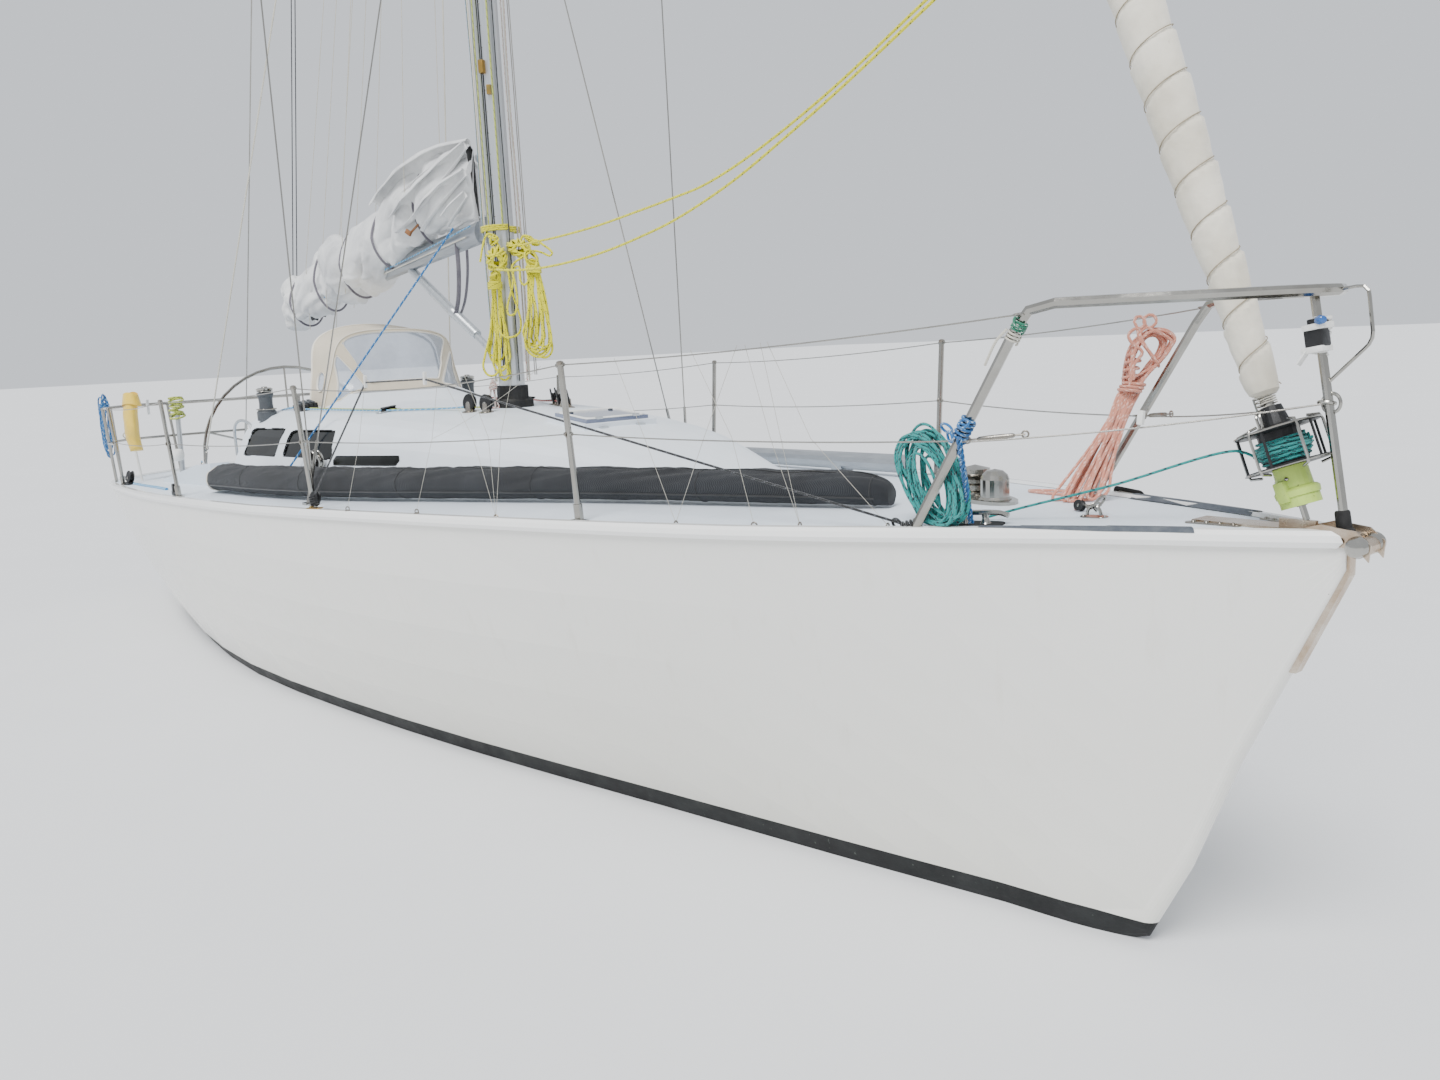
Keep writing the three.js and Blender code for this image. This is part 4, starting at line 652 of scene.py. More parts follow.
# A hank's points are drawn as the camera sees them: across from its middle line, height and depth
hankAcross, hankAway = Vector((0.619, 0.785, 0)), Vector((-0.785, 0.619, 0))
bowHead = [(.016, 1.781), (.030, 1.820), (.056, 1.859), (.079, 1.906), (.089, 1.932), (.058, 1.957),
    (.008, 1.963), (-.024, 1.944), (-.043, 1.911), (-.044, 1.857), (-.020, 1.782)]
bowInner = [(.020, 1.781), (.036, 1.840), (.055, 1.880), (.060, 1.917), (.040, 1.938), (.004, 1.943),
    (-.020, 1.920), (-.036, 1.884), (-.032, 1.837), (-.013, 1.782)]
bowRings = [(-.016, 1.800), (-.035, 1.843), (-.019, 1.890), (-.059, 1.922), (-.074, 1.950), (-.058, 1.969),
    (-.033, 1.972), (-.019, 1.988), (-.030, 2.009), (-.047, 2.010), (-.058, 1.993), (-.047, 1.972),
    (-.037, 1.938), (.005, 1.889), (.057, 1.839), (.035, 1.860), (-.012, 1.910), (-.036, 1.951),
    (-.019, 1.971), (.005, 1.973), (.019, 1.993), (.005, 2.014), (-.016, 2.012), (-.023, 1.992),
    (-.009, 1.971), (.031, 1.952), (.077, 1.919)]
hankLooks = {
    "starboard_mast_hank": {
        "thick": 0.0125, "finish": yellowRope, "seed": 3, "neck": (-.008, 2.385, .026),
        "start": [(.035, 2.437, -.01), (.057, 2.430, -.01), (.077, 2.329, -.01), (.110, 2.232, -.01),
            (.135, 2.144, -.02), (.126, 2.085, -.03), (.089, 2.064, -.035), (.038, 2.072, -.03),
            (.006, 2.130, -.01), (-.006, 2.250, 0), (-.008, 2.345, 0)],
        "loops": [(-.010, 1.856, .046, -.034), (.056, 1.829, .026, -.012), (.036, 1.880, .036, -.028),
            (.010, 1.930, .040, -.004), (.046, 1.902, .040, -.020), (-.010, 1.968, .032, -.012),
            (.060, 1.850, .020, -.030)],
        "turns": [("band", (-.010, 2.326), (-.010, 2.362), .036, .030, 3.5),
            ("path", [(-.030, 2.390, -.03), (.022, 2.420, -.03)]), ("ball", (0, 2.486), .052, .042, .066, 15),
            ("ball", (-.020, 2.590), .026, .022, .028, 3.5),
            ("path", [(-.044, 2.622, -.01), (-.060, 2.606, -.01), (-.076, 2.559, -.01),
                (-.088, 2.474, -.01)])]},
    "port_mast_hank": {
        "thick": 0.0125, "finish": yellowRope, "seed": 5, "neck": (.041, 2.440, .032),
        "start": [(.093, 2.583, 0), (.110, 2.576, -.01), (.132, 2.552, -.01), (.157, 2.526, -.01),
            (.163, 2.504, -.01), (.145, 2.491, -.01), (.113, 2.509, -.02), (.070, 2.520, -.03),
            (0, 2.490, -.03), (-.067, 2.446, -.02), (-.068, 2.343, -.02), (-.073, 2.246, -.02),
            (-.099, 2.187, -.02), (-.130, 2.183, -.02), (-.132, 2.221, -.02), (-.112, 2.275, -.02),
            (-.084, 2.344, -.01), (-.060, 2.435, -.01), (-.034, 2.440, -.01), (-.039, 2.369, -.01),
            (-.024, 2.341, -.01), (0, 2.356, -.01), (.010, 2.440, 0)],
        "loops": [(.016, 1.949, .072, -.030), (.010, 1.962, .058, .020), (-.014, 1.995, .046, -.016),
            (.044, 1.944, .046, .006), (.006, 1.978, .040, -.024), (.050, 2.004, .036, -.010),
            (-.026, 2.024, .034, .014), (.030, 1.988, .052, .028), (-.004, 2.010, .060, -.004)],
        "turns": [("band", (.041, 2.404), (.041, 2.438), .038, .034, 3.5),
            ("ring", (.044, 2.478), .030, .050, 3.5), ("ball", (-.008, 2.543), .058, .042, .046, 14),
            ("band", (.052, 2.606), (.092, 2.556), .020, .020, 5)]},
    "mast_foot_hank": {
        "thick": 0.009, "finish": candyRope, "seed": 8, "neck": (0, 1.800, .014), "start": [(0, 1.828, 0)],
        "loops": [(-.010, 1.640, .020, -.010), (.012, 1.650, .020, 0), (0, 1.672, .016, .010)],
        "turns": [("band", (0, 1.780), (0, 1.806), .020, .016, 2.5)]},
    "bow_hank": {
        "thick": 0.0115, "finish": pinkRope, "seed": 11, "neck": (0, 1.756, .034), "start": [],
        "tail": [(.84, -.02), (.90, .10), (1.00, .22), (1.10, .30), (1.22, .32), (1.30, .36), (1.24, .43),
            (1.12, .40), (1.02, .32), (.96, .24)],
        "loops": [(-.026, 1.392, .018, -.020), (.008, 1.398, .020, .012), (.040, 1.400, .020, -.010),
            (.070, 1.402, .022, .015), (.092, 1.411, .016, -.012), (-.050, 1.390, .018, .020),
            (.024, 1.400, .018, .026), (-.010, 1.394, .026, -.034), (.054, 1.404, .024, -.028),
            (.080, 1.408, .018, .026)],
        "heads": [(bowHead, 0), (bowInner, .014), (bowHead, -.016), (bowInner, -.006), (bowHead, .026),
            (bowInner, .030), (bowHead, -.028)],
        "turns": [("band", (-.020, 1.800), (-.034, 1.880), .024, .022, 3.2),
            ("path", [(u, z, -.034 + .002 * (i % 5)) for i, (u, z) in enumerate(bowRings)]),
            ("path", [(.050, 1.850, -.030)]), ("band", (.004, 1.784), (.002, 1.756), .040, .034, 2.6)]},
}


def hankRow(rows, z):
    for a, b in zip(rows, rows[1:]):
        if z >= b[2]:
            t = min(1, max(0, (a[2] - z) / (a[2] - b[2])))
            return between(a, b, t)
    return list(rows[-1])


# One rope: it starts at its knot, runs down and up in loops, then winds round itself
def hankLine(name):
    rows, look = hankRows[name], hankLooks[name]
    dice = random.Random(look["seed"])
    thick = look["thick"]
    neckU, neckZ, neckHalf = look["neck"]
    heads = look.get("heads", [])

    def at(u, z, v=0.0):
        row = hankRow(rows, z)
        return spot(row[0], row[1], z) + hankAcross * u + hankAway * v

    line = [at(*p) for p in look["start"]] + [at(neckU, neckZ + 0.036)]
    for i, (u, low, half, v) in enumerate(look["loops"]):
        left, right = neckU - neckHalf * dice.uniform(0.1, 1.0), neckU + neckHalf * dice.uniform(0.1, 1.0)
        sway = dice.uniform(-0.006, 0.006)
        turnZ = low + half * 1.3
        steps = max(4, int((neckZ - turnZ) / 0.04))
        ease = [(k / steps) ** 1.35 for k in range(steps + 1)]
        for k, e in enumerate(ease):
            z = neckZ + (turnZ - neckZ) * k / steps
            line.append(at(left + (u - half - left) * e + sway * sin(k * 0.8), z, v * e))
        for k in range(1, 8):
            a = pi * k / 8
            line.append(at(u - half * cos(a), turnZ - half * 1.3 * sin(a), v + thick * 0.5 * k / 8))
        for k, e in reversed(list(enumerate(ease))):
            z = neckZ + (turnZ - neckZ) * k / steps
            line.append(at(right + (u + half - right) * e + sway * sin(k * 0.7 + 2), z,
                (v + thick * 0.5) * e))
        if i < len(heads):
            head, deep = heads[i]
            shift, grow = dice.uniform(-0.004, 0.004), dice.uniform(0.92, 1.05)
            line += [at(p * grow + shift, 1.78 + (z - 1.78) * grow, deep) for p, z in head]
        else:
            line += [at(right, neckZ + 0.022, 0),
                at(neckU, neckZ + 0.034 + 0.003 * (i % 3), thick * 0.4 * (i % 3 - 1)),
                at(left, neckZ + 0.022, 0)]
    for turn in look["turns"]:
        kind = turn[0]
        if kind == "path":
            line += [at(*p) for p in turn[1]]
        if kind == "band":
            (u0, z0), (u1, z1), half, deep, turns = turn[1:]
            count = int(turns * 14)
            for k in range(count + 1):
                a, t = 2 * pi * k / 14, k / count
                line.append(at(u0 + (u1 - u0) * t - half * cos(a),
                    z0 + (z1 - z0) * t + thick * 0.3 * sin(a + 1), -deep * sin(a)))
        if kind == "ring":
            (u0, z0), half, tall, turns = turn[1:]
            for k in range(int(turns * 14) + 1):
                a = 2 * pi * k / 14
                line.append(at(u0 - half * cos(a), z0 + tall * sin(a), -0.042 + thick * k / 14))
        if kind == "ball":
            (u0, z0), half, deep, tall, turns = turn[1:]
            for k in range(int(turns * 16) + 1):
                a = 2 * pi * k / 16
                swing = a / (2 * pi) * 2.4
                pole = radians(58 + 20 * sin(a * 0.37))
                normal = Vector((cos(swing) * sin(pole), cos(pole), sin(swing) * sin(pole)))
                first = Vector((-sin(swing), 0, cos(swing)))
                second = normal.cross(first)
                reach = (first * cos(a) + second * sin(a)) * (1 - 0.10 * sin(a * 0.23 + 1))
                line.append(at(u0 + reach.x * half, z0 + reach.z * tall, reach.y * deep))
    line = [deckAt(a, y, thick * 0.55) for a, y in look.get("tail", [])] + line
    if name in ("bow_hank", "mast_foot_hank"):
        line = [Vector((p.x, p.y, max(p.z, deckAt(stemX - p.x, p.y).z + thick * 0.55))) for p in line]
    return smoothLine(line, 0.012)


cordReport = []


def layCord(name, line, thick, finish, sides=8):
    length = lineLength(line)
    piece = addPiece(name + "_rope", tubeShape(line, thick / 2, sides), finish, crease=80)
    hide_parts(name)
    cordReport.append((name, round(length, 2), thick))


for name, look in hankLooks.items():
    layCord(name, hankLine(name), look["thick"], look["finish"], 6)

# The furling line's coil hangs on the pulpit: oval turns side by side, each a little different
coilLook = {"aft": 1.075, "z": 1.548, "half": (0.118, 0.176), "y": (-0.472, -0.412), "lean": 0.42,
    "turns": 21, "thick": 0.010}


def coilLine():
    look = coilLook
    dice = random.Random(21)
    turns, count = look["turns"], 26
    shape = [(dice.uniform(-0.012, 0.002), dice.uniform(-0.02, 0.002), dice.uniform(-0.030, 0.030),
        dice.choice((0.30, 0.5, 0.75, 0.95, 1.0)), dice.uniform(-0.5, 0.5)) for _ in range(turns + 2)]
    line = []
    for i in range(turns * count + 1):
        turn, a = i // count, 2 * pi * i / count
        t = (i % count) / count
        ease = between(shape[turn], shape[turn + 1], t)
        u = (look["half"][0] + ease[0]) * ease[3] * cos(a + ease[4]) + ease[2]
        v = (look["half"][1] + ease[1]) * (0.4 + 0.6 * ease[3]) * sin(a) - 0.05 * (1 - ease[3])
        if v > 0.1:
            v = 0.1 + (v - 0.1) * 0.85
        share = 0.5 + 0.5 * sin((turn + t) * 2.4)
        y = look["y"][0] + (look["y"][1] - look["y"][0]) * share
        aft = look["aft"] + u * cos(look["lean"]) + v * sin(look["lean"])
        z = look["z"] - u * sin(look["lean"]) + v * cos(look["lean"])
        z = max(z, deckAt(aft, y).z + look["thick"] * 0.55)
        line.append(spot(aft, y, z))
    return smoothLine(line, 0.02)


layCord("furling_coil", coilLine(), coilLook["thick"], tealRope, 6)

sheetRoutes = {
    "port_sheet": [(4.390, .026, 2.556), (4.256, .024, 2.560), (4.100, .026, 2.562), (3.940, .028, 2.567),
        (3.620, .030, 2.583), (3.300, .033, 2.611), (3.000, .036, 2.640), (2.770, .038, 2.668),
        (2.440, .042, 2.752), (1.990, .047, 2.911), (1.510, .054, 3.122), (1.180, .060, 3.268),
        (.850, .058, 3.404)],
    "starboard_sheet": [(4.424, -.122, 2.428), (4.340, -.146, 2.420), (4.200, -.136, 2.408),
        (3.960, -.116, 2.402), (3.680, -.104, 2.412), (3.400, -.095, 2.434), (3.100, -.087, 2.476),
        (2.840, -.080, 2.524), (2.450, -.074, 2.632), (2.120, -.070, 2.755), (1.830, -.067, 2.872),
        (1.350, -.064, 3.083), (1.080, -.062, 3.205), (.826, -.054, 3.316)],
}
for name, route in sheetRoutes.items():
    layCord(name, smoothLine(spots(*route), 0.02), 0.012, yellowRope)
print("cords:", cordReport)


# Stage and light
stageLook = {"half": 160, "sun": 3.9, "spread": 28, "shines": (-0.30, 0.62, -1.0),
    "sky": (0.86, 0.90, 0.96, 1), "skyStrength": 1.0}


def makeStage():
    size = stageLook["half"]
    rows = [[Vector((x, y, 0)) for x in (-size, 0, size)] for y in (-size, 0, size)]
    floor = addPiece("floor", gridShape(rows), madeOf("pale_floor", (226, 227, 228), (220, 221, 222), 0.6,
        0.5, (0.75, 0.85), (30, 0.0004)))
    floor.parent = None
    sun = bpy.data.objects.new("soft_sun", bpy.data.lights.new("soft_sun", "SUN"))
    sun.data.energy = stageLook["sun"]
    sun.data.angle = radians(stageLook["spread"])
    sun.rotation_euler = Vector(stageLook["shines"]).to_track_quat("-Z", "Y").to_euler()
    bpy.context.scene.collection.objects.link(sun)
    world = bpy.data.worlds.new("studio")
    world.use_nodes = True
    background = world.node_tree.nodes["Background"]
    background.inputs["Color"].default_value = stageLook["sky"]
    background.inputs["Strength"].default_value = stageLook["skyStrength"]
    bpy.context.scene.world = world


makeStage()


# Soft pieces with a body: the rolled headsail, the sail on the boom and the long bag. Bulges between creases
# come from a list of folds, each an oval [along, around, half along, half around, turn, height].
def foldHeight(folds, along, around, period):
    best = 0.0
    for a, c, halfA, halfC, turn, tall in folds:
        u = along - a
        v = (around - c + period / 2) % period - period / 2
        if abs(u) > 2 * halfA + halfC:
            continue
        p = (u * cos(turn) + v * sin(turn)) / halfA
        q = (v * cos(turn) - u * sin(turn)) / halfC
        best = max(best, tall * sqrt(max(0.0, 1 - p * p - q * q)))
    return best


genoaLook = {"foot": 0.325, "pitch": 0.135, "lap": 0.0100, "sides": 60, "fine": 3.4, "seamEnd": 5.1,
    "thread": 0.0016,
    "roll": [(0, .032), (.012, .043), (.470, .055), (.608, .061), (.897, .068), (1.217, .071), (5.2, .072),
        (8.6, .060), (11.35, .040), (11.4, .020)]}
stayFoot, stayHead = spot(.130, 0, 1.470), spot(4.430, 0, 13.080)
stayAxis = (stayHead - stayFoot).normalized()


def stayAt(distance, out=0.0, angle=0.0):
    frameOf = standing(stayFoot + stayAxis * distance, stayAxis, (1, 0, 0))
    return frameOf @ Vector((out * cos(angle), out * sin(angle), 0))


def rollRadius(d):
    roll = genoaLook["roll"]
    return next(r + (s - r) * (d - a) / (b - a) for (a, r), (b, s) in zip(roll, roll[1:]) if a <= d <= b)


def rolledGenoa():
    look, roll = genoaLook, genoaLook["roll"]
    levels, d = [], 0.0
    while d < roll[-1][0]:
        levels.append(d)
        d += 0.009 if d < look["fine"] else 0.05
    levels += [roll[1][0], roll[-1][0]]
    rows = []
    for d in sorted(levels):
        radius = rollRadius(d)
        row = []
        for angle in turnAngles(look["sides"]):
            turn = (d / look["pitch"] - angle / (2 * pi)) % 1
            puff = noise.noise(Vector((cos(angle) * 1.5, sin(angle) * 1.5, d * 5)))
            crease = noise.noise(Vector((cos(angle) * 4, sin(angle) * 4, d * 16 + turn * 3)))
            edge = look["lap"] * (turn ** 0.6 if turn < 0.93 else (1 - turn) / 0.07)
            row.append(stayAt(look["foot"] + d,
                radius - 0.004 + min(1, d * 30) * (edge + puff * 0.0035 + crease * 0.0016), angle))
        rows.append(row)
    return capped(gridShape(rows, True), look["sides"])


# A dark thread along the sail's edge, where each turn laps over the one below: partly the edge's own colour,
# partly painted shade under the lap
def genoaSeam():
    line, d = [], 0.02
    while d < genoaLook["seamEnd"]:
        line.append(stayAt(genoaLook["foot"] + d, rollRadius(d) + 0.0015,
            2 * pi * (d / genoaLook["pitch"] + 0.93)))
        d += 0.006
    return tubeShape(line, genoaLook["thread"], 5)


genoa = addPiece("rolled_genoa", rolledGenoa(), rollCloth, crease=28)
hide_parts("furled_genoa")
addPiece("genoa_seam", genoaSeam(), lapShadeThread)

# The mainsail lies flaked on the boom: [aft, low, high, half width] as the model's bundle
sailLook = {
    "rows": [(4.87, 2.70, 3.17, .06), (5.15, 2.68, 3.16, .11), (5.60, 2.63, 3.08, .15),
        (6.05, 2.54, 2.96, .165), (6.45, 2.42, 2.87, .165), (6.90, 2.365, 2.86, .155),
        (7.25, 2.335, 2.78, .14), (7.50, 2.31, 2.69, .13), (7.85, 2.235, 2.615, .145),
        (8.09, 2.235, 2.565, .125), (8.22, 2.33, 2.49, .06)],
    "ties": [5.42, 6.02, 6.62, 7.20, 7.76], "bulge": 0.080, "inset": 0.048, "folds": 46, "creases": 90,
    "crease": 0.020, "pinch": 0.022, "along": 280, "around": 120, "seed": 17,
}


def bundleRow(aft):
    rows = sailLook["rows"]
    for a, b in zip(rows, rows[1:]):
        if aft <= b[0]:
            t = max(0, (aft - a[0]) / (b[0] - a[0]))
            t = t * t * (3 - 2 * t) * 0.5 + t * 0.5
            return between(a, b, t)
    return rows[-1]


def flakedSail():
    look = sailLook
    dice = random.Random(look["seed"])
    first, last = look["rows"][0][0], look["rows"][-1][0]
    folds = []
    count = look["folds"]
    for i in range(count):
        along = first + (last - first) * (i + 0.5) / count + dice.uniform(-0.06, 0.06)
        turn = dice.uniform(0.15, 0.55) * (1 if along < 6.6 else dice.choice((-1, 1, 1)))
        folds.append((along, dice.uniform(0, 1.0), dice.uniform(0.24, 0.46), dice.uniform(0.08, 0.15), turn,
            dice.uniform(0.6, 1.0)))
    creases = [(dice.uniform(first, last), dice.uniform(0, 1.0), dice.uniform(0.10, 0.24),
        dice.uniform(0.018, 0.04), dice.uniform(0.1, 0.7) * dice.choice((1, 1, -1)), dice.uniform(0.5, 1.0))
        for _ in range(look["creases"])]
    rows = []
    for i in range(look["along"]):
        aft = first + (last - first) * i / (look["along"] - 1)
        _, low, high, half = bundleRow(aft)
        tied = sum(exp(-((aft - t) / 0.055) ** 2) for t in look["ties"])
        tall = (high - low) / 2
        row = []
        for k in range(look["around"]):
            share = k / look["around"]
            a = 2 * pi * share
            c, s = cos(a), sin(a)
            wide = half * (1 - 0.32 * max(0, s) + 0.06 * max(0, -s))
            bulge = foldHeight(folds, aft, share, 1.0)
            place = Vector((aft * 3, share * 9, 1.7))
            fine = noise.noise(Vector((aft * 7 + c * 1.3, s * 3.0 + aft * 3, c * 3))) * 0.010
            gather = tied * sin(share * 66 + noise.noise(place) * 4) * 0.004
            out = look["bulge"] * bulge * (1 - 0.5 * min(1, tied)) - look["inset"] + fine
            out = out + look["crease"] * foldHeight(creases, aft, share, 1.0) + gather
            out -= look["pinch"] * min(1, tied)
            ends = min(1.0, (last - aft) / 0.25 + 0.4)
            reach = Vector((0, wide * copysign(abs(c) ** 0.85, c), tall * copysign(abs(s) ** 0.9, s)))
            normal = Vector((0, c * tall, s * wide)).normalized()
            core = spot(aft + 0.03 * noise.noise(Vector((share * 7, aft, 4))), 0, (low + high) / 2)
            row.append(core + reach + normal * out * ends)
        rows.append(row)
    return capped(gridShape(rows, True), look["around"])


sail = addPiece("flaked_sail", flakedSail(), sailCloth, "boom", crease=50)
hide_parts("stowed_mainsail")

# Open folds of cloth that hang over the bundle by the mast: [aft, y, z, radius] down each fold
sailFlaps = [
    [(4.86, -.035, 3.150, .022), (5.00, -.085, 3.060, .045), (5.22, -.135, 2.945, .060),
        (5.46, -.165, 2.840, .066), (5.60, -.170, 2.790, .050)],
    [(4.86, -.050, 3.000, .022), (4.98, -.095, 2.940, .040), (5.14, -.130, 2.860, .052),
        (5.30, -.150, 2.770, .052)],
    [(4.86, -.055, 2.880, .018), (4.94, -.085, 2.820, .032), (5.04, -.105, 2.750, .036)],
    [(4.90, .010, 3.165, .026), (5.25, -.050, 3.140, .050), (5.60, -.105, 3.045, .066),
        (5.95, -.135, 2.900, .060)],
    [(4.86, .045, 3.080, .022), (5.05, .090, 3.000, .045), (5.30, .135, 2.880, .058),
        (5.50, .155, 2.780, .050)],
]


def flapShape(rows, side):
    spine = smoothLine(spots(*(row[:3] for row in rows)), 0.02)
    lines = []
    for i, p in enumerate(spine):
        t = i / (len(spine) - 1) * (len(rows) - 1)
        k = min(int(t), len(rows) - 2)
        radius = rows[k][3] + (rows[k + 1][3] - rows[k][3]) * (t - k)
        ahead = (spine[min(i + 1, len(spine) - 1)] - spine[max(i - 1, 0)]).normalized()
        over = (up - ahead * up.dot(ahead)).normalized()
        out = ahead.cross(over) * side
        line = []
        for j in range(25):
            a = radians(-60 + 262 * j / 24)
            ripple = 1 + 0.10 * noise.noise(Vector((i * 0.16, j * 0.28, rows[0][2] * 3)))
            line.append(p + (out * sin(a) * 0.8 + over * cos(a) * 1.25) * radius * ripple)
        lines.append(line)
    return gridShape(lines)


for i, rows in enumerate(sailFlaps):  # thick enough to read as folded cloth
    flap = addPiece(f"sail_fold_{i + 1}", flapShape(rows, 1 if rows[2][1] < 0 else -1), sailCloth,
        "boom", crease=60)
    thick = flap.modifiers.new("cloth", "SOLIDIFY")
    thick.thickness = 0.004
    long = lineLength(spots(*(row[:3] for row in rows)))

# Ties round the bundle and the boom, and the batten end that shows between folds
for i, aft in enumerate(sailLook["ties"]):
    _, low, high, half = bundleRow(aft)
    ring = []
    for a in turnAngles(40):
        c, s = cos(a), sin(a)
        wide = (half - 0.012) * (1 - 0.30 * max(0, s))
        ring.append(spot(aft + 0.05 * s, wide * c, (low + high) / 2 - 0.01 + ((high - low) / 2 - 0.006) * s))
    addPiece(f"sail_tie_{i + 1}", tubeShape(ring, 0.008, 6, True, 0.4), webbing, "boom")
batten = [blockShape((0.05, 0.028, 0.016), spot(5.42, -.165, 2.72), (0.3, -1, 0.2), (1, 0, -0.5))]
batten.append(tubeShape([spot(5.42, -.150, 2.72), spot(5.35, -.13, 2.76)], 0.007))
addPiece("batten_end", batten, teak, "boom")

# The long bag on the side deck
bagLook = {"path": [(1.450, -.228), (2.000, -.400), (2.700, -.590), (3.400, -.790), (4.200, -.985),
    (5.200, -1.130), (6.350, -1.190)],
    "thin": 0.068, "swell": 0.022, "along": 420, "around": 44}


def bagCentre():
    path = spaced(smoothLine([Vector((a, y, 0)) for a, y in bagLook["path"]], 0.02), bagLook["along"])
    shares = [(p.x - path[0].x) / (path[-1].x - path[0].x) for p in path]
    return [(p, share, bagLook["thin"] + bagLook["swell"] * min(1, 1.35 * share))
        for p, share in zip(path, shares)]


def longBag():
    rows = []
    centre = bagCentre()
    for i, (p, share, radius) in enumerate(centre):
        nearEnd = min(share, 1 - share) * 24
        radius *= 0.62 + 0.38 * sqrt(max(0, 1 - (1 - min(1, nearEnd)) ** 2))
        ahead = (centre[min(i + 1, len(centre) - 1)][0] - centre[max(i - 1, 0)][0]).normalized()
        side = Vector((-ahead.y, ahead.x, 0))
        base = deckAt(p.x, p.y)
        tilt = (deckAt(p.x + side.x * 0.06, p.y + side.y * 0.06).z - deckAt(p.x - side.x * 0.06,
            p.y - side.y * 0.06).z) / 0.12
        across = Vector((-side.x, side.y, tilt)).normalized()
        over = Vector((-ahead.x, ahead.y, 0)).cross(across)
        over = over if over.z > 0 else -over
        middle = base + up * radius
        row = []
        for a in turnAngles(bagLook["around"]):
            c, s = cos(a), sin(a)
            slant = p.x * 3.2 + c * 0.9
            wrinkle = noise.noise(Vector((slant * 1.7 + s * 1.6, c * 1.4, 3.0))) * 0.009
            wrinkle += noise.noise(Vector((slant * 5 + s * 4.0, c * 2.2, 9.0))) * 0.004
            wrinkle *= 0.35 + 0.65 * max(0, s + 0.4)
            reach = radius - 0.006 + wrinkle
            down = s if s > 0 else s * 0.93
            row.append(middle + across * (c * reach * 1.02) + over * (down * reach))
        rows.append(row)
    return capped(gridShape(rows, True), bagLook["around"])


bag = addPiece("long_bag", longBag(), bagCloth, crease=60)
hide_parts("sail_bag")


def bagLine(angle, lift, start=0.0, end=1.0):
    points = bag.data.vertices
    around = bagLook["around"]
    k = int(round(angle / 360 * around)) % around
    count = bagLook["along"]
    line = []
    for i in range(int(count * start), int(count * end)):
        p = points[i * around + k].co
        middle = sum((points[i * around + j].co for j in range(0, around, 4)), Vector()) / (around // 4)
        line.append(p + (p - middle).normalized() * lift)
    return line


lowSide = 205 if bag.data.vertices[int(205 / 360 * bagLook["around"])].co.y < bag.data.vertices[
    0].co.y else 335
addPiece("bag_piping", [tubeShape(bagLine(lowSide, 0.001, 0.01, 0.99), 0.0045, 6),
    tubeShape(bagLine(100, 0.001, 0.01, 0.99), 0.003, 6)], bagBinding)


def bagRing(share, thick, finish, name, lift=0.001):
    around, i = bagLook["around"], int(bagLook["along"] * share)
    ring = [bag.data.vertices[i * around + k].co.copy() for k in range(around)]
    middle = sum(ring, Vector()) / around
    ring = [p + (p - middle).normalized() * lift for p in ring]
    return addPiece(name, tubeShape(ring, thick, 6, True), finish, slot="canvas")


bagRing(0.985, 0.005, seamCloth, "bag_end_piping")
for i, share in enumerate((0.012, 0.16, 0.34, 0.52, 0.70, 0.86)):
    bagRing(share, 0.003, bagBinding, f"bag_seam_{i + 1}", 0.0)

# Sprayhood: a sheet over three bows, its clear panels in sheets of their own
hoodLook = {
    "bows": [
        {"foot": (6.080, .440), "corner": (6.050, .350), "crown": 6.030, "cornerZ": 1.765, "crownZ": 1.765},
        {"foot": (6.220, .500), "corner": (6.170, .360), "crown": 6.230, "cornerZ": 2.105, "crownZ": 2.165},
        {"foot": (6.460, .505), "corner": (6.500, .410), "crown": 6.660, "cornerZ": 2.110, "crownZ": 2.215},
    ],
    "across": 97, "front": 25, "top": 17, "lift": 0.002,
}


def bowLine(bow):
    (footAft, footY), (cornerAft, cornerY) = bow["foot"], bow["corner"]
    footZ = deckAt(footAft, footY).z
    middle = (footAft * 0.6 + cornerAft * 0.4, (footY + cornerY) / 2 + 0.008, (footZ + bow["cornerZ"]) / 2)
    half = [(footAft, footY, footZ), middle, (cornerAft, cornerY, bow["cornerZ"])]
    whole = [spot(a, -y, z) for a, y, z in half] + [spot(bow["crown"], 0, bow["crownZ"])]
    whole += [spot(a, y, z) for a, y, z in reversed(half)]
    return spaced(smoothLine(whole, 0.01), hoodLook["across"])


hoodBows = [bowLine(b) for b in hoodLook["bows"]]


def hoodPoint(row, k, lift=0.0):
    if row <= hoodLook["front"] - 1:
        a, b, t = hoodBows[0], hoodBows[1], row / (hoodLook["front"] - 1)
        sag = 0.006
    else:
        a, b, t = hoodBows[1], hoodBows[2], (row - hoodLook["front"] + 1) / hoodLook["top"]
        sag = 0.012
    p = a[k].lerp(b[k], t)
    middle = Vector((p.x + 0.1, 0, 1.75))
    out = (p - middle).normalized()
    w = k / (hoodLook["across"] - 1) * 2 - 1
    wrinkle = noise.noise(Vector((w * 9 + row * 0.12, row * 0.18, 2))) * 0.004 * sin(pi * t)
    return p + out * (wrinkle - sag * sin(pi * t) + lift)


def isClear(row, k):
    w = abs(k / (hoodLook["across"] - 1) * 2 - 1)
    if row < hoodLook["front"] - 1:
        t = row / (hoodLook["front"] - 1)
        if 0.13 < t < 0.94 and w < 0.46 + 0.04 * (1 - t):
            return True
        return 0.55 < w < 0.62 + 0.32 * min(1, (1 - t) * 1.6) and 0.07 < t < 0.93
    t = (row - hoodLook["front"] + 1) / hoodLook["top"]
    return 0.30 < t < 0.72 and ((w - 0.80) / 0.085) ** 2 + ((t - 0.5) / 0.2) ** 2 < 1


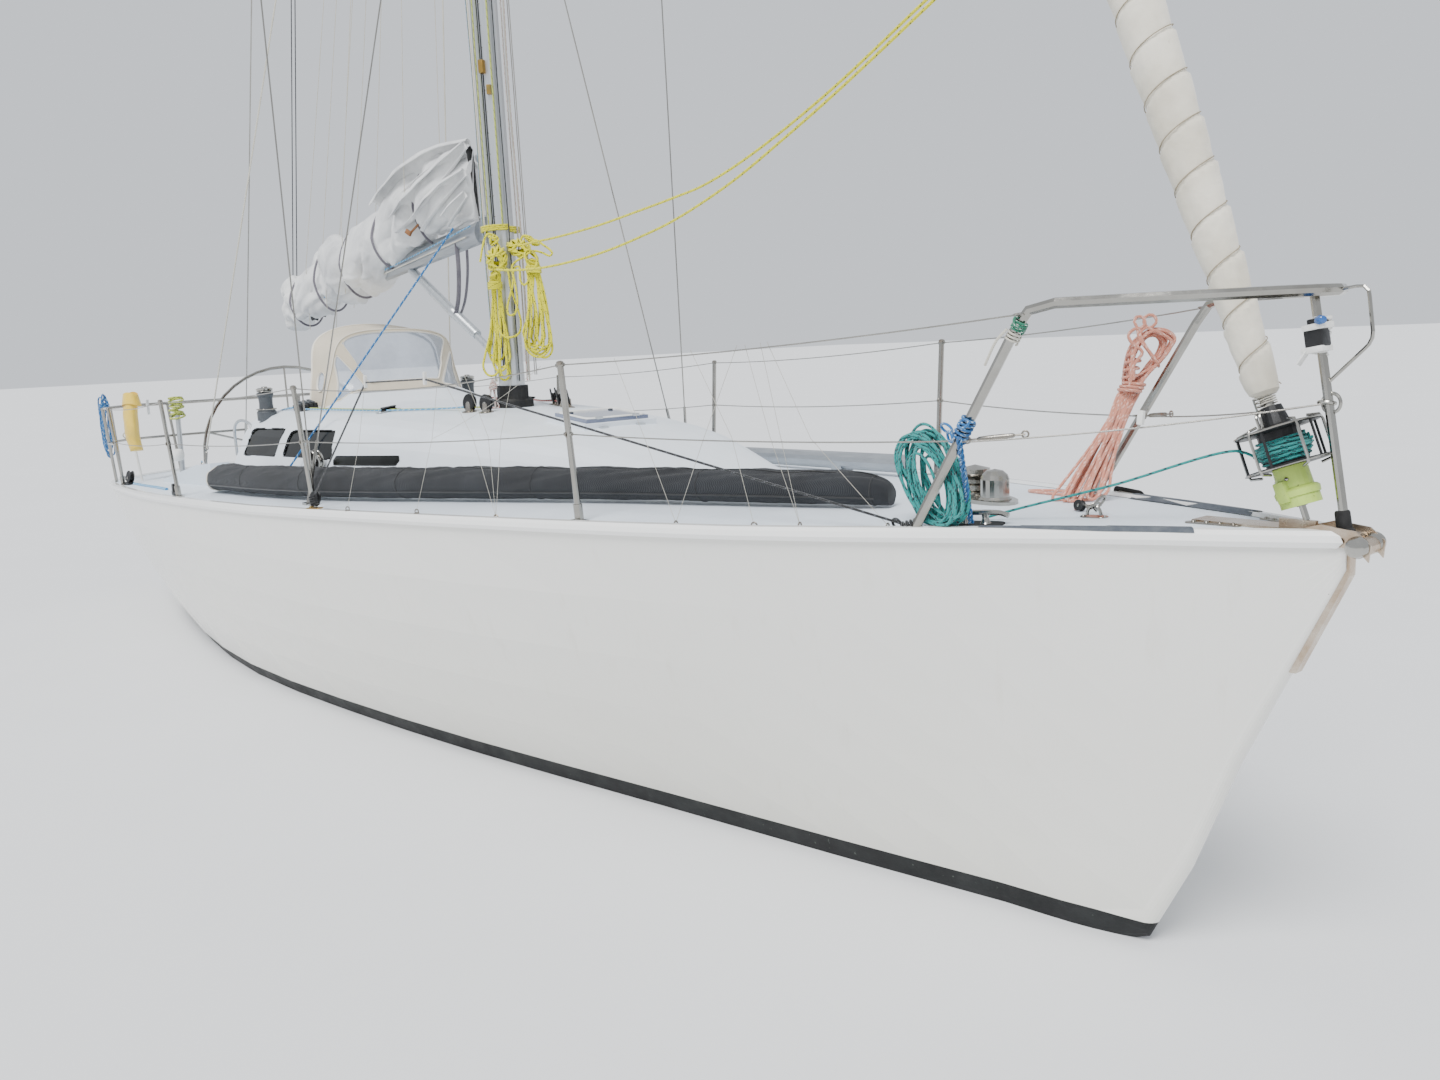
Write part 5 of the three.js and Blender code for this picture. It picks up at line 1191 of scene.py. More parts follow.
def hoodSheets():
    count = hoodLook["front"] + hoodLook["top"]
    wide = hoodLook["across"]
    points = [hoodPoint(r, k, hoodLook["lift"]) for r in range(count) for k in range(wide)]
    cloth, clear = [], []
    for r in range(count - 1):
        for k in range(wide - 1):
            face = [r * wide + k, r * wide + k + 1, (r + 1) * wide + k + 1, (r + 1) * wide + k]
            (clear if isClear(r, k) and isClear(r, k + 1) else cloth).append(face)
    return points, cloth, clear


def onlyUsed(points, faces):
    used = sorted({i for f in faces for i in f})
    place = {i: n for n, i in enumerate(used)}
    return noLay([points[i] for i in used], [[place[i] for i in f] for f in faces])


hoodPoints, clothFaces, clearFaces = hoodSheets()
hood = addPiece("hood_cloth", onlyUsed(hoodPoints, clothFaces), hoodCloth, crease=60)
hoodClear = addPiece("hood_windows", onlyUsed(hoodPoints, clearFaces), clearVinyl, crease=60)
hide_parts("sprayhood")


# The open edges of the clear panels, each as a loop of points
def rimOf(faces, points):
    count = {}
    for f in faces:
        for a, b in zip(f, f[1:] + f[:1]):
            key = (min(a, b), max(a, b))
            count[key] = count.get(key, 0) + 1
    links = {}
    for (a, b), n in count.items():
        if n == 1:
            links.setdefault(a, []).append(b)
            links.setdefault(b, []).append(a)
    loops = []
    while links:
        loop, last = [next(iter(links))], None
        while True:
            ways = [n for n in links[loop[-1]] if n != last]
            if not ways or ways[0] in loop:
                break
            last = loop[-1]
            loop.append(ways[0])
        for i in loop:
            links.pop(i, None)
        for i in list(links):
            links[i] = [n for n in links[i] if n in links]
            if not links[i]:
                del links[i]
        if len(loop) > 8:
            loops.append([points[i] for i in loop])
    return loops


def eased(loop, times=2):
    for _ in range(times):
        loop = [(loop[i - 1] + loop[i] * 2 + loop[(i + 1) % len(loop)]) / 4 for i in range(len(loop))]
    return loop


bindings = [tubeShape(eased(loop, 3), 0.009, 6, True, 0.3) for loop in rimOf(clearFaces, hoodPoints)]
lastRow = hoodLook["front"] + hoodLook["top"] - 1
for row, lift, thick in ((lastRow, 0.003, 0.008), (hoodLook["front"] - 1, 0.005, 0.006), (0, 0.004, 0.008)):
    edge = [hoodPoint(row, k, lift) for k in range(hoodLook["across"])]
    bindings.append(tubeShape(edge, thick, 6, False, 0.5))
binding = addPiece("hood_binding", bindings, seamCloth)


# The sheets' flat sizes, measured along the bows and down the middle
hoodAlong = lineLength([hoodPoint(r, hoodLook["across"] // 2) for r in range(lastRow + 1)])
clearAlong = lineLength([hoodPoint(r, 8) for r in range(hoodLook["front"])])


# Wires, lines and fittings. A line is drawn straight through its points unless it is said to curve.
def addLine(name, points, thick, finish, body="hull", curve=False, sides=6, slot=None):
    line = smoothLine(points, 0.03) if curve else [Vector(p) for p in points]
    return addPiece(name, tubeShape(line, thick / 2, sides), finish, body, slot=slot)


def sagging(a, b, sag, count=14):
    return [Vector(a).lerp(Vector(b), i / count) - up * (sag * 4 * (i / count) * (1 - i / count))
        for i in range(count + 1)]


def boltHead(at, axis, size=0.006):
    return turnedShape([(size * 1.2, 0), (size * 1.15, size * 0.25), (size * 0.75, size * 0.8),
        (size * 0.2, size)], at, axis, 12)


def screwShape(a, b, thick=0.006, share=0.5):
    a, b = Vector(a), Vector(b)
    axis = (b - a).normalized()
    middle = a.lerp(b, share)
    body = turnedShape([(thick * 0.6, -0.055), (thick, -0.05), (thick * 1.15, -0.02), (thick * 1.15, 0.02),
        (thick, 0.05), (thick * 0.6, 0.055)], middle, axis, 12)
    return joined([body, tubeShape([a, b], thick * 0.45, 8),
        ringShape(a, axis.cross(up), thick * 1.4, thick * 0.4, 14),
        ringShape(b, axis.cross(up), thick * 1.4, thick * 0.4, 14)])


def shackleShape(at, axis, size, toward=(1, 0, 0)):
    frameOf = standing(at, axis, toward)
    bow = [frameOf @ Vector((size * 0.55 * cos(a), 0, size * 0.9 + size * 0.6 * sin(a)))
        for a in turnAngles(24)[:13]]
    line = [frameOf @ Vector((size * 0.5, 0, 0))] + bow + [frameOf @ Vector((-size * 0.5, 0, 0))]
    pin = [frameOf @ Vector((x * size * 0.75, 0, 0)) for x in (-1, 1)]
    return joined([tubeShape(line, size * 0.14, 8), tubeShape(pin, size * 0.15, 8)])


# A block: two cheeks, a sheave between them and its strap
def addBlock(name, at, axis, size, toward=(1, 0, 0), finish=None, strap=True, body="hull"):
    frameOf = standing(at, axis, toward)
    cheek = [(size * 0.55 * cos(a), size * 0.72 * sin(a) + size * 0.1) for a in turnAngles(24)]
    turn = Matrix.Rotation(radians(90), 4, "X")
    shapes, metal = [], []
    for side in (-1, 1):
        plate = plateShape(cheek, size * 0.12, (0, 0, 0))
        shift = Matrix.Translation((0, side * size * 0.2 + size * 0.06, size * 0.6))
        shapes.append(placed(plate, frameOf @ shift @ turn))
        pin = [(size * 0.16, 0), (size * 0.16, size * 0.06), (size * 0.08, size * 0.09)]
        metal.append(placed(turnedShape(pin, (0, side * size * 0.24, size * 0.6), (0, side, 0), 12), frameOf))
    sheave = [(0.1, -0.13), (0.46, -0.13), (0.38, -0.05), (0.38, 0.05), (0.46, 0.13), (0.1, 0.13)]
    wheel = [(r * size, h * size) for r, h in sheave]
    shapes.append(placed(turnedShape(wheel, (0, 0, size * 0.6), (0, 1, 0), 20), frameOf))
    addPiece(name, shapes, finish or darkPlastic, body, slot="dark_plastic")
    if strap:
        metal.append(placed(shackleShape((0, 0, -size * 0.12), (0, 0, -1), size * 0.28), frameOf))
    addPiece(name + "_pin", metal, steel, body)


def padeyeShape(aft, y, size=0.03, turn=0.0):
    at, normal = deckAt(aft, y), deckFace(aft, y)
    toward = (cos(turn), sin(turn), 0)
    frameOf = standing(at, normal, toward)
    base = placed(plateShape(roundedOutline(size * 2.2, size * 1.1, size * 0.5), 0.003, (0, 0, 0)), frameOf)
    eye = [frameOf @ Vector((size * 0.55 * cos(a), 0, size * 0.15 + size * 0.75 * sin(a)))
        for a in turnAngles(24)[:13]]
    heads = [boltHead(frameOf @ Vector((x * size * 0.85, 0, 0.003)), normal, 0.004) for x in (-1, 1)]
    return joined([base, tubeShape(eye, size * 0.13, 8)] + heads)


def flangeShape(at, axis, radius, bolts=3):
    frameOf = standing(at, axis)
    shapes = [turnedShape([(radius * 2.6, 0), (radius * 2.6, 0.004), (radius * 1.5, 0.007),
        (radius * 1.15, 0.03), (radius * 1.02, 0.05)], at, axis, 24)]
    for a in turnAngles(bolts):
        shapes.append(boltHead(frameOf @ Vector((radius * 2.05 * cos(a), radius * 2.05 * sin(a), 0.004)),
            axis, 0.004))
    return joined(shapes)


def wrapShape(a, b, radius, thick, turns, count=14):
    a, b = Vector(a), Vector(b)
    line = []
    frameOf = standing(a, b - a)
    for i in range(int(turns * count) + 1):
        t = 2 * pi * i / count
        line.append(frameOf @ Vector((radius * cos(t), radius * sin(t),
            (b - a).length * i / (turns * count))))
    return tubeShape(line, thick / 2, 6)


# Furler: steel rims and cage over the drum's plates, the line wound on it, and the sail's tack above it
furlLook = {"drum": 0.1183, "high": 0.112, "rim": 0.114, "cage": (0.6, 1.9, 3.2, 4.5, 5.6), "line": 0.008,
    "wraps": [(0.0615, 0.016, 8), (0.069, 0.030, 5), (0.076, 0.044, 2)],
    "bolts": [(0.045, 0.050, 0.008, (0.5, 2.4, 3.9, 5.3)), (0.085, 0.047, 0.005, (1.4, 3.2, 4.8))]}
drumLow, drumHigh = furlLook["drum"], furlLook["drum"] + furlLook["high"]
rims = [ringShape(stayAt(d), stayAxis, furlLook["rim"], 0.0024, 48)
    for d in (drumLow + 0.002, drumHigh - 0.002)]
for angle in furlLook["cage"]:
    bar = [(drumLow - 0.012, 0.080), (drumLow - 0.006, 0.112), (drumLow + 0.01, 0.117),
        (drumHigh - 0.01, 0.117), (drumHigh + 0.006, 0.112), (drumHigh + 0.012, 0.080)]
    rims.append(tubeShape([stayAt(d, out, angle) for d, out in bar], 0.0042, 8))
addPiece("furler_rims", rims, steel)
wound = []
for layer, (radius, start, turns) in enumerate(furlLook["wraps"]):
    for i in range(turns * 22):
        a = 2 * pi * i / 22
        wobble = 0.0016 * sin(i * 0.7 + layer)
        wound.append(stayAt(drumLow + start + 0.0085 * i / 22 + wobble, radius + wobble, -a))
addPiece("furling_wraps", tubeShape(wound, furlLook["line"] / 2, 6), tealRope)
coilFoot = deckAt(1.00, -0.285, 0.006)
lead = [stayAt(drumLow + 0.055, 0.078, radians(200)), spot(0.30, -.045, 1.622), spot(0.62, -.150, 1.515),
    spot(0.90, -.245, 1.430), coilFoot]
addLine("furling_lead", lead, 0.009, tealRope, curve=True)
addPiece("furler_bolts", [boltHead(stayAt(d, out, a), stayAt(d, 1, a) - stayAt(d, 0, a), size)
    for d, out, size, angles in furlLook["bolts"] for a in angles], steel)
collar = [(0.046, 0), (0.058, 0.004), (0.060, 0.020), (0.055, 0.026), (0.046, 0.030)]
lock = blockShape((0.020, 0.036, 0.060), stayAt(0.052, 0.052, 4.4), stayAxis, stayAt(0, 1, 4.4) - stayAt(0))
addPiece("furler_collar", [turnedShape(collar, stayAt(0.030), stayAxis, 40), lock], limeAlloy)
tack = [shackleShape(stayAt(0.238, 0.036, 3.9 + j), stayAxis, 0.030, (0, 1, 0)) for j in (0, 0.5)]
tack.append(tubeShape([stayAt(0.245, 0.034, 3.9), stayAt(0.325, 0.036, 3.9)], 0.003, 8))
tack.append(ringShape(stayAt(0.245), stayAxis, 0.034, 0.004))
addPiece("tack_shackle", tack, steel)
addPiece("tack_lashing", [wrapShape(stayAt(0.285, 0.012, 3.9), stayAt(0.340, 0.018, 3.9), 0.018, 0.004, 5),
    wrapShape(stayAt(0.300), stayAt(0.325), 0.022, 0.004, 4)], creamRope)

# Lifelines, both sides: pulpit corner, stanchion tops and pushpit
stanchionAt = {"starboard": [(2.440, .910), (4.360, 1.266), (6.470, 1.390), (8.720, 1.262)],
    "port": [(2.170, .850), (4.360, 1.266), (6.470, 1.390), (8.720, 1.262)]}
lifeLook = {"wire": 0.0055, "top": 0.600, "low": 0.340, "topLean": 0.040, "lowLean": 0.024, "sag": 0.018,
    "loose": 0.045, "ring": (.070, .012, 1.757)}
lifeEnds = {"pulpit_top": (.690, .488, 2.030), "pulpit_low": (.930, .494, 1.665),
    "pushpit_top": (8.950, 1.240, 1.655), "pushpit_low": (8.950, 1.229, 1.370)}
for word, side in bothSides:
    feet = [deckAt(a, side * h) for a, h in stanchionAt[word]]
    ends = {k: spot(aft, side * y, z) for k, (aft, y, z) in lifeEnds.items()}
    for level, end in (("upper", "top"), ("lower", "low")):
        lean = Vector((0, side * lifeLook[end + "Lean"], lifeLook[end]))
        stops = [ends["pulpit_" + end]] + [p + lean for p in feet] + [ends["pushpit_" + end]]
        line = []
        for a, b in zip(stops, stops[1:]):
            slack = lifeLook["sag"] * (a - b).length / 2
            if side < 0 and level == "upper" and abs(a.x - (stemX - 2.44)) < 0.02:
                slack = lifeLook["loose"]
            line += sagging(a, b, slack, 12)[:-1]
        line.append(stops[-1])
        addLine(f"{word}_{level}_lifeline", line, lifeLook["wire"], wireRope)
        along, back = (line[1] - line[0]).normalized() * 0.02, (stops[-2] - stops[-1]).normalized()
        sleeves = [tubeShape([p - along, p + along], 0.0075, 8) for p in stops[1:-1]]
        sleeves.append(screwShape(stops[-1] + back * 0.30, stops[-1] + back * 0.04, 0.006))
        sleeves.append(shackleShape(stops[0], stops[1] - stops[0], 0.022))
        addPiece(f"{word}_{level}_ends", sleeves, steel)
    caps = []
    for p in feet:
        lean = Vector((0, side * lifeLook["topLean"], 0.605)).normalized()
        caps.append(flangeShape(p - lean * 0.002, lean, 0.0125))
        head = p + Vector((0, side * lifeLook["topLean"], lifeLook["top"]))
        caps.append(turnedShape([(0.013, 0), (0.0145, 0.004), (0.0135, 0.012), (0.006, 0.016)],
            head, lean, 14))
        middle = p + Vector((0, side * lifeLook["lowLean"], lifeLook["low"]))
        caps.append(ringShape(middle, (1, 0, 0), 0.0145, 0.003, 16))
    addPiece(f"{word}_stanchion_feet", caps, dullSteel)
    ringAt = spot(lifeLook["ring"][0], side * lifeLook["ring"][1], lifeLook["ring"][2])
    low = ends["pulpit_low"]
    addLine(f"{word}_bow_wire", sagging(low + Vector((0.05, 0, 0)), ringAt, 0.012),
        lifeLook["wire"], wireRope)
    ahead = (ringAt - low).normalized()
    addPiece(f"{word}_bow_screw", [screwShape(low + ahead * 0.03, low + ahead * 0.20, 0.007),
        shackleShape(low, ringAt - low, 0.024)], dullSteel)
addPiece("leg_eye", [ringShape(spot(.066, 0, 1.757), (0.2, 1, 0), 0.026, 0.005),
    ringShape(spot(.078, 0, 1.757), (0, 0.2, 1), 0.019, 0.006)], steel)
addPiece("wire_clip", blockShape((0.018, 0.014, 0.040), spot(.470, -.255, 1.728), (0.1, 0, 1)), whitePlastic)


# Net lacing: thin lines from eyes in the deck edge to the lifelines
lifeStops = {
    "upper": [(0.69, -.488, 2.03), (1.635, -.737, 1.978), (2.44, -.95, 1.934), (3.251, -1.10, 1.890),
        (3.736, -1.19, 1.880), (4.36, -1.306, 1.86), (6.47, -1.43, 1.775)],
    "lower": [(0.93, -.494, 1.665), (2.44, -.934, 1.672), (4.36, -1.290, 1.590), (6.47, -1.414, 1.505)],
}


def lineAt(level, aft):
    for a, b in zip(lifeStops[level], lifeStops[level][1:]):
        if aft <= b[0]:
            t = (aft - a[0]) / (b[0] - a[0])
            return spot(*between(a, b, t))


deckEyes = [3.938, 3.392, 1.974, 1.499, 1.202]
netLines = [(1.974, 2.09, 2.177), (1.974, 1.83, 1.65), (1.499, 1.57, 1.62), (1.499, 1.53, 1.56),
    (1.202, 1.42, 1.534), (2.879, 3.02, 3.17), (2.879, 2.84, 2.71), (3.392, 3.30, 3.20), (3.938, 3.86, 3.74),
    (1.659, 1.72, 1.84), (2.879, 2.92, 3.02)]
edgeHalf = {1.202: -.514, 1.499: -.625, 1.659: -.692, 1.974: -.793, 2.879: -1.038, 3.392: -1.153,
    3.938: -1.255}


def edgeAt(aft):
    return deckAt(aft, edgeHalf[aft])


net = [[edgeAt(a) + up * 0.012, lineAt("lower", b), lineAt("upper", c)] for a, b, c in netLines]
net.append(sagging(lineAt("upper", 2.55), lineAt("lower", 3.3), 0.02))
addPiece("net_lacing", [tubeShape(line, 0.0009, 5) for line in net], creamRope)
eyes = []
for aft in deckEyes:
    eyes.append(ringShape(edgeAt(aft) + up * 0.010, (1, 0.25, 0), 0.009, 0.0028, 16))
    eyes.append(turnedShape([(0.012, 0), (0.011, 0.004), (0.004, 0.006)], edgeAt(aft), up, 14))
eyes += [padeyeShape(2.879, -1.036, 0.024, 0.3), padeyeShape(1.659, -.690, 0.022, 0.4)]
addPiece("deck_eyes", eyes, dullSteel)

# The black line from the lashed block to the pulpit's foot, over two clips on the upper lifeline
blockFoot = deckAt(4.29, -1.290)
blackRoute = [blockFoot + up * 0.05, lineAt("upper", 3.736), lineAt("upper", 3.29), spot(1.139, -.502, 1.392),
    deckAt(1.06, -.470, 0.006)]
addLine("black_line", blackRoute, 0.009, blackRope)
addPiece("black_line_knots", [wrapShape(spot(1.15, -.508, 1.385), spot(1.10, -.490, 1.400), 0.012, 0.009, 4),
    wrapShape(blockFoot + up * 0.02 + Vector((0.01, 0, 0)), blockFoot + up * 0.06, 0.020, 0.008, 4),
    ringShape(spot(1.17, -.505, 1.392), (0, 1, 0.4), 0.018, 0.0045)], blackRope)
addPiece("line_clips", [blockShape((0.014, 0.014, 0.055), lineAt("upper", a) + up * 0.004, (0.1, 0, 1))
    for a in (3.736, 3.29)], whitePlastic)
addBlock("chainplate_block", blockFoot + up * 0.012, (0.1, 0.2, 1), 0.052, (1, 0.3, 0), strap=False)
base = [plateShape(roundedOutline(0.11, 0.036, 0.012), 0.004, deckAt(4.29, -1.288), deckFace(4.29, -1.288),
    (1, 0.25, 0))]
base += [boltHead(deckAt(a, y, 0.004), up, 0.006) for a, y in ((4.245, -1.276), (4.335, -1.292))]
addPiece("chainplate_base", base, bronze)


# Cleats, padeyes and toe plates on the foredeck
def cleatShape(aft, y, turn, size=0.20):
    frameOf = standing(deckAt(aft, y), deckFace(aft, y), (cos(turn), sin(turn), 0))
    horn = [(-0.5, .13), (-0.38, .165), (-0.2, .175), (0, .170), (0.2, .175), (0.38, .165), (0.5, .13)]
    shapes = [tubeShape(smoothLine([frameOf @ Vector((x * size, 0, z * size)) for x, z in horn], 0.01),
        0.0105, 10, flat=0.8)]
    for x in (-0.16, 0.16):
        shapes.append(turnedShape([(0.020, 0), (0.014, 0.008), (0.011, 0.020), (0.012, 0.034)],
            frameOf @ Vector((x * size, 0, 0)), deckFace(aft, y), 14))
    shapes.append(placed(plateShape(roundedOutline(size * 0.62, 0.046, 0.018), 0.004, (0, 0, -0.001)),
        frameOf))
    return joined(shapes)


addPiece("mooring_cleats", [cleatShape(.986, -.345, 0.35, 0.22), cleatShape(.956, .478, -0.35, 0.22),
    cleatShape(9.30, -1.13, -0.1, 0.22), cleatShape(9.30, 1.13, 0.1, 0.22)], steel)
pads = []
for a, y, t in ((.986, -.345, .35), (.956, .478, -.35)):
    pads.append(plateShape(roundedOutline(0.19, 0.075, 0.03), 0.003, deckAt(a, y, 0.0005),
        deckFace(a, y), (1, t, 0)))
addPiece("cleat_pads", pads, rubber)
addPiece("tack_padeye", [padeyeShape(.719, -.100, 0.040, 0.2),
    shackleShape(deckAt(.719, -.100, 0.028), (0.4, 0.5, 0.7), 0.032, (0, 1, 0)),
    shackleShape(deckAt(.760, -.075, 0.024), (0.6, 0.6, 0.2), 0.028, (1, 0, 0))], steel)
addBlock("hank_block", deckAt(.80, -.035, 0.016), (-0.9, 0.35, 0.15), 0.032, (0, 0.3, 1), strap=False)
toe, toeRows = [], [(.249, -.109, 0.13, 0.42), (.141, -.045, 0.10, 0.42), (.249, .109, 0.13, -0.42),
    (.36, -.05, 0.16, 0.1)]
for a, y, long, turn in toeRows:
    at, normal = deckAt(a, y), deckFace(a, y)
    toward = (cos(turn), sin(turn), 0)
    toe.append(plateShape(roundedOutline(long, 0.030, 0.012), 0.004, at, normal, toward))
    toe += [boltHead(standing(at, normal, toward) @ Vector((long * x, 0, 0.004)), normal, 0.006)
        for x in (-0.36, -0.12, 0.12, 0.36)]
addPiece("toe_plates", toe, dullSteel)
addPiece("leg_boot", turnedShape([(0.026, 0), (0.026, 0.006), (0.020, 0.012), (0.0195, 0.055),
    (0.017, 0.060)], deckAt(.016, 0, -0.004), (-0.17, 0, 1), 20), rubber)
boltRows = [(.098, 1.135), (.117, 1.095), (.136, 1.055), (.154, 1.018), (.025, 1.345), (.045, 1.245)]
rollerEnd = [(0.004, -0.030), (0.018, -0.026), (0.027, -0.012), (0.030, 0.004), (0.024, 0.020),
    (0.008, 0.028)]
stem = [boltHead(spot(a, side * 0.0195, z), (0, side, 0), 0.009) for side in (-1, 1) for a, z in boltRows]
stem += [turnedShape(rollerEnd, spot(-.038, side * .050, 1.383), (0, side, 0), 24) for side in (-1, 1)]
addPiece("stem_bolts", stem, steel)

# Bow light taped to the pulpit's front leg
lampAt = spot(.098, -.028, 1.930)
addPiece("bow_light", [blockShape((0.050, 0.052, 0.062), lampAt, (-0.17, 0, 1)),
    blockShape((0.040, 0.044, 0.020), lampAt + up * 0.042, (-0.17, 0, 1))], darkPlastic)
addPiece("bow_light_lens", turnedShape([(0.012, 0), (0.013, 0.010), (0.010, 0.022), (0.004, 0.026)],
    lampAt + Vector((0.012, -0.024, 0.046)), (0.7, -0.5, 0.1), 16), blueLens)
addPiece("bow_light_tape", [blockShape((0.058, 0.064, 0.016), lampAt + up * z, (-0.17, 0.04 * z, 1))
    for z in (0.030, -0.030)] + [wrapShape(lampAt + Vector((-0.008, 0.026, -0.045)),
        lampAt + Vector((0, 0.026, 0.055)), 0.021, 0.012, 7),
        blockShape((0.004, 0.022, 0.040), lampAt + Vector((-0.022, -0.030, -0.052)), (0.5, 0.3, 1))], tape)

# Lashings on the pulpit's starboard leg: green and white at the corner, blue above the coil
legTop, legFoot = spot(.680, -.488, 2.040), spot(1.120, -.495, 1.380)


def onLeg(z):
    return legFoot.lerp(legTop, (z - legFoot.z) / (legTop.z - legFoot.z))


addPiece("corner_lashing", [wrapShape(onLeg(1.985), onLeg(2.010), 0.020, 0.007, 4),
    ringShape(onLeg(1.995) + Vector((0.01, -0.02, 0.012)), (1, 0, 0.3), 0.016, 0.003, 14)], greenRope)
addPiece("corner_tails",
    [tubeShape(smoothLine([onLeg(1.99) + Vector((-0.02, -0.022, 0)), onLeg(1.96) + Vector((-0.03, -0.030, 0)),
        onLeg(1.90) + Vector((-0.035, -0.026, -0.01))], 0.01), 0.004, 6),
        wrapShape(onLeg(1.955), onLeg(1.980), 0.020, 0.006, 3)], creamRope)
blueKnot = onLeg(1.700)
addPiece("coil_lashing", [wrapShape(onLeg(1.670), onLeg(1.735), 0.022, 0.009, 5),
    ringShape(blueKnot + Vector((-0.045, -0.024, 0.005)), (0.3, 1, 0.5), 0.026, 0.0042, 20, squash=0.6),
    ringShape(blueKnot + Vector((-0.030, -0.028, -0.020)), (0.6, 1, 0.2), 0.020, 0.0042, 20, squash=0.8),
    ringShape(blueKnot + Vector((0.020, -0.026, 0.020)), (0.2, 1, -0.5), 0.022, 0.0042, 20, squash=0.6)],
    blueRope)
braid = []
for j in range(3):
    strand = []
    for i in range(61):
        a = i * 0.55 + j * 2.1
        twist = Vector((0.006 * sin(a), 0.006 * cos(a) - 0.024, -0.02))
        strand.append(blueKnot.lerp(Vector((4.022, -.350, 1.415)), i / 60) + twist)
    braid.append(tubeShape(strand, 0.0042, 6))
addPiece("coil_braid", braid, blueRope)

# Mast: track groove with rivets, halyards, its turning blocks and collar
mastLook = {"aft": 4.575, "half": (0.095, 0.066), "foot": 1.78, "top": 12.9,
    "rivets": [(-57, 0.11, 60), (-75, 0.22, 30)]}


def onMast(angle, z, out=0.0):
    a = radians(angle)
    return spot(mastLook["aft"] - (mastLook["half"][0] + out) * cos(a), (mastLook["half"][1] + out) * sin(a),
        z)


def mastOut(angle):
    return onMast(angle, 0, 1) - onMast(angle, 0)


groove = [tubeShape([onMast(angle, 1.9), onMast(angle, mastLook["top"])], 0.0035, 6)
    for angle in (-62, -70, 180)]
addPiece("mast_groove", groove, darkPlastic)
rivets = []
for angle, step, count in mastLook["rivets"]:
    rivets += [boltHead(onMast(angle, 1.95 + step * i), mastOut(angle), 0.003) for i in range(count)]
addPiece("mast_rivets", rivets, steel)
# Each halyard's name, finish, angle round the mast, distance off it and thickness
halyards = [("lime_halyard", limeRope, -138, 0.020, 0.010), ("black_halyard", blackRope, -128, 0.016, 0.010),
    ("cream_halyard", creamRope, -112, 0.016, 0.009), ("blue_halyard", blueRope, -146, 0.028, 0.010),
    ("lime_pair", limeRope, -84, 0.012, 0.008), ("front_halyard", limeRope, -28, 0.018, 0.009),
    ("grey_halyard", blackRope, -8, 0.022, 0.008), ("pale_halyard", candyRope, 30, 0.030, 0.009),
    ("port_halyard", creamRope, 48, 0.036, 0.009), ("port_red_halyard", redRope, 64, 0.040, 0.008)]
for i, (name, finish, angle, out, thick) in enumerate(halyards):
    foot = 2.66 if name in ("lime_pair", "front_halyard") else mastLook["foot"] + 0.04
    dice = random.Random(i)
    line = [onMast(angle + dice.uniform(-1.5, 1.5), foot + (mastLook["top"] - foot) * k / 14,
        out * (0.75 + 0.25 * (k % 2))) for k in range(15)]
    addLine(name, line, thick, finish, curve=True, slot=None if finish is blackRope else "sailcloth")
wires = [tubeShape([onMast(angle, 1.85, out), onMast(angle * 0.9, 12.6, out * 0.4)], 0.003, 5)
    for angle, out in ((12, 0.055), (40, 0.075), (58, 0.060))]
addPiece("mast_wires", wires, wireRope)
addPiece("mast_collar", wrapShape(spot(mastLook["aft"], 0, 2.640), spot(mastLook["aft"], 0, 2.672), 0.104,
    0.011, 3, 40), yellowRope)
addPiece("mast_fitting", [blockShape((0.035, 0.030, 0.070), onMast(-60, 3.50, 0.010), (0, 0, 1),
    mastOut(-60)), blockShape((0.030, 0.026, 0.050), onMast(-40, 3.38, 0.008), (0, 0, 1), mastOut(-40))],
    bronze)
for i, (aft, y, lean) in enumerate(((4.560, -.285, -.45), (4.440, -.245, -.40), (4.440, .235, .35),
        (4.340, .215, .35), (4.560, .27, .4))):
    base = deckAt(aft, y)
    addBlock(f"foot_block_{i + 1}", base + up * 0.006, (-0.12, -lean * 0.35, 1), 0.066,
        (1, 0.5 * (1 if y < 0 else -1), 0), darkPlastic, strap=True)
    addPiece(f"foot_block_base_{i + 1}", [flangeShape(base, deckFace(aft, y), 0.016, 4),
        shackleShape(base + up * 0.006, (0, 0, 1), 0.020)], dullSteel)

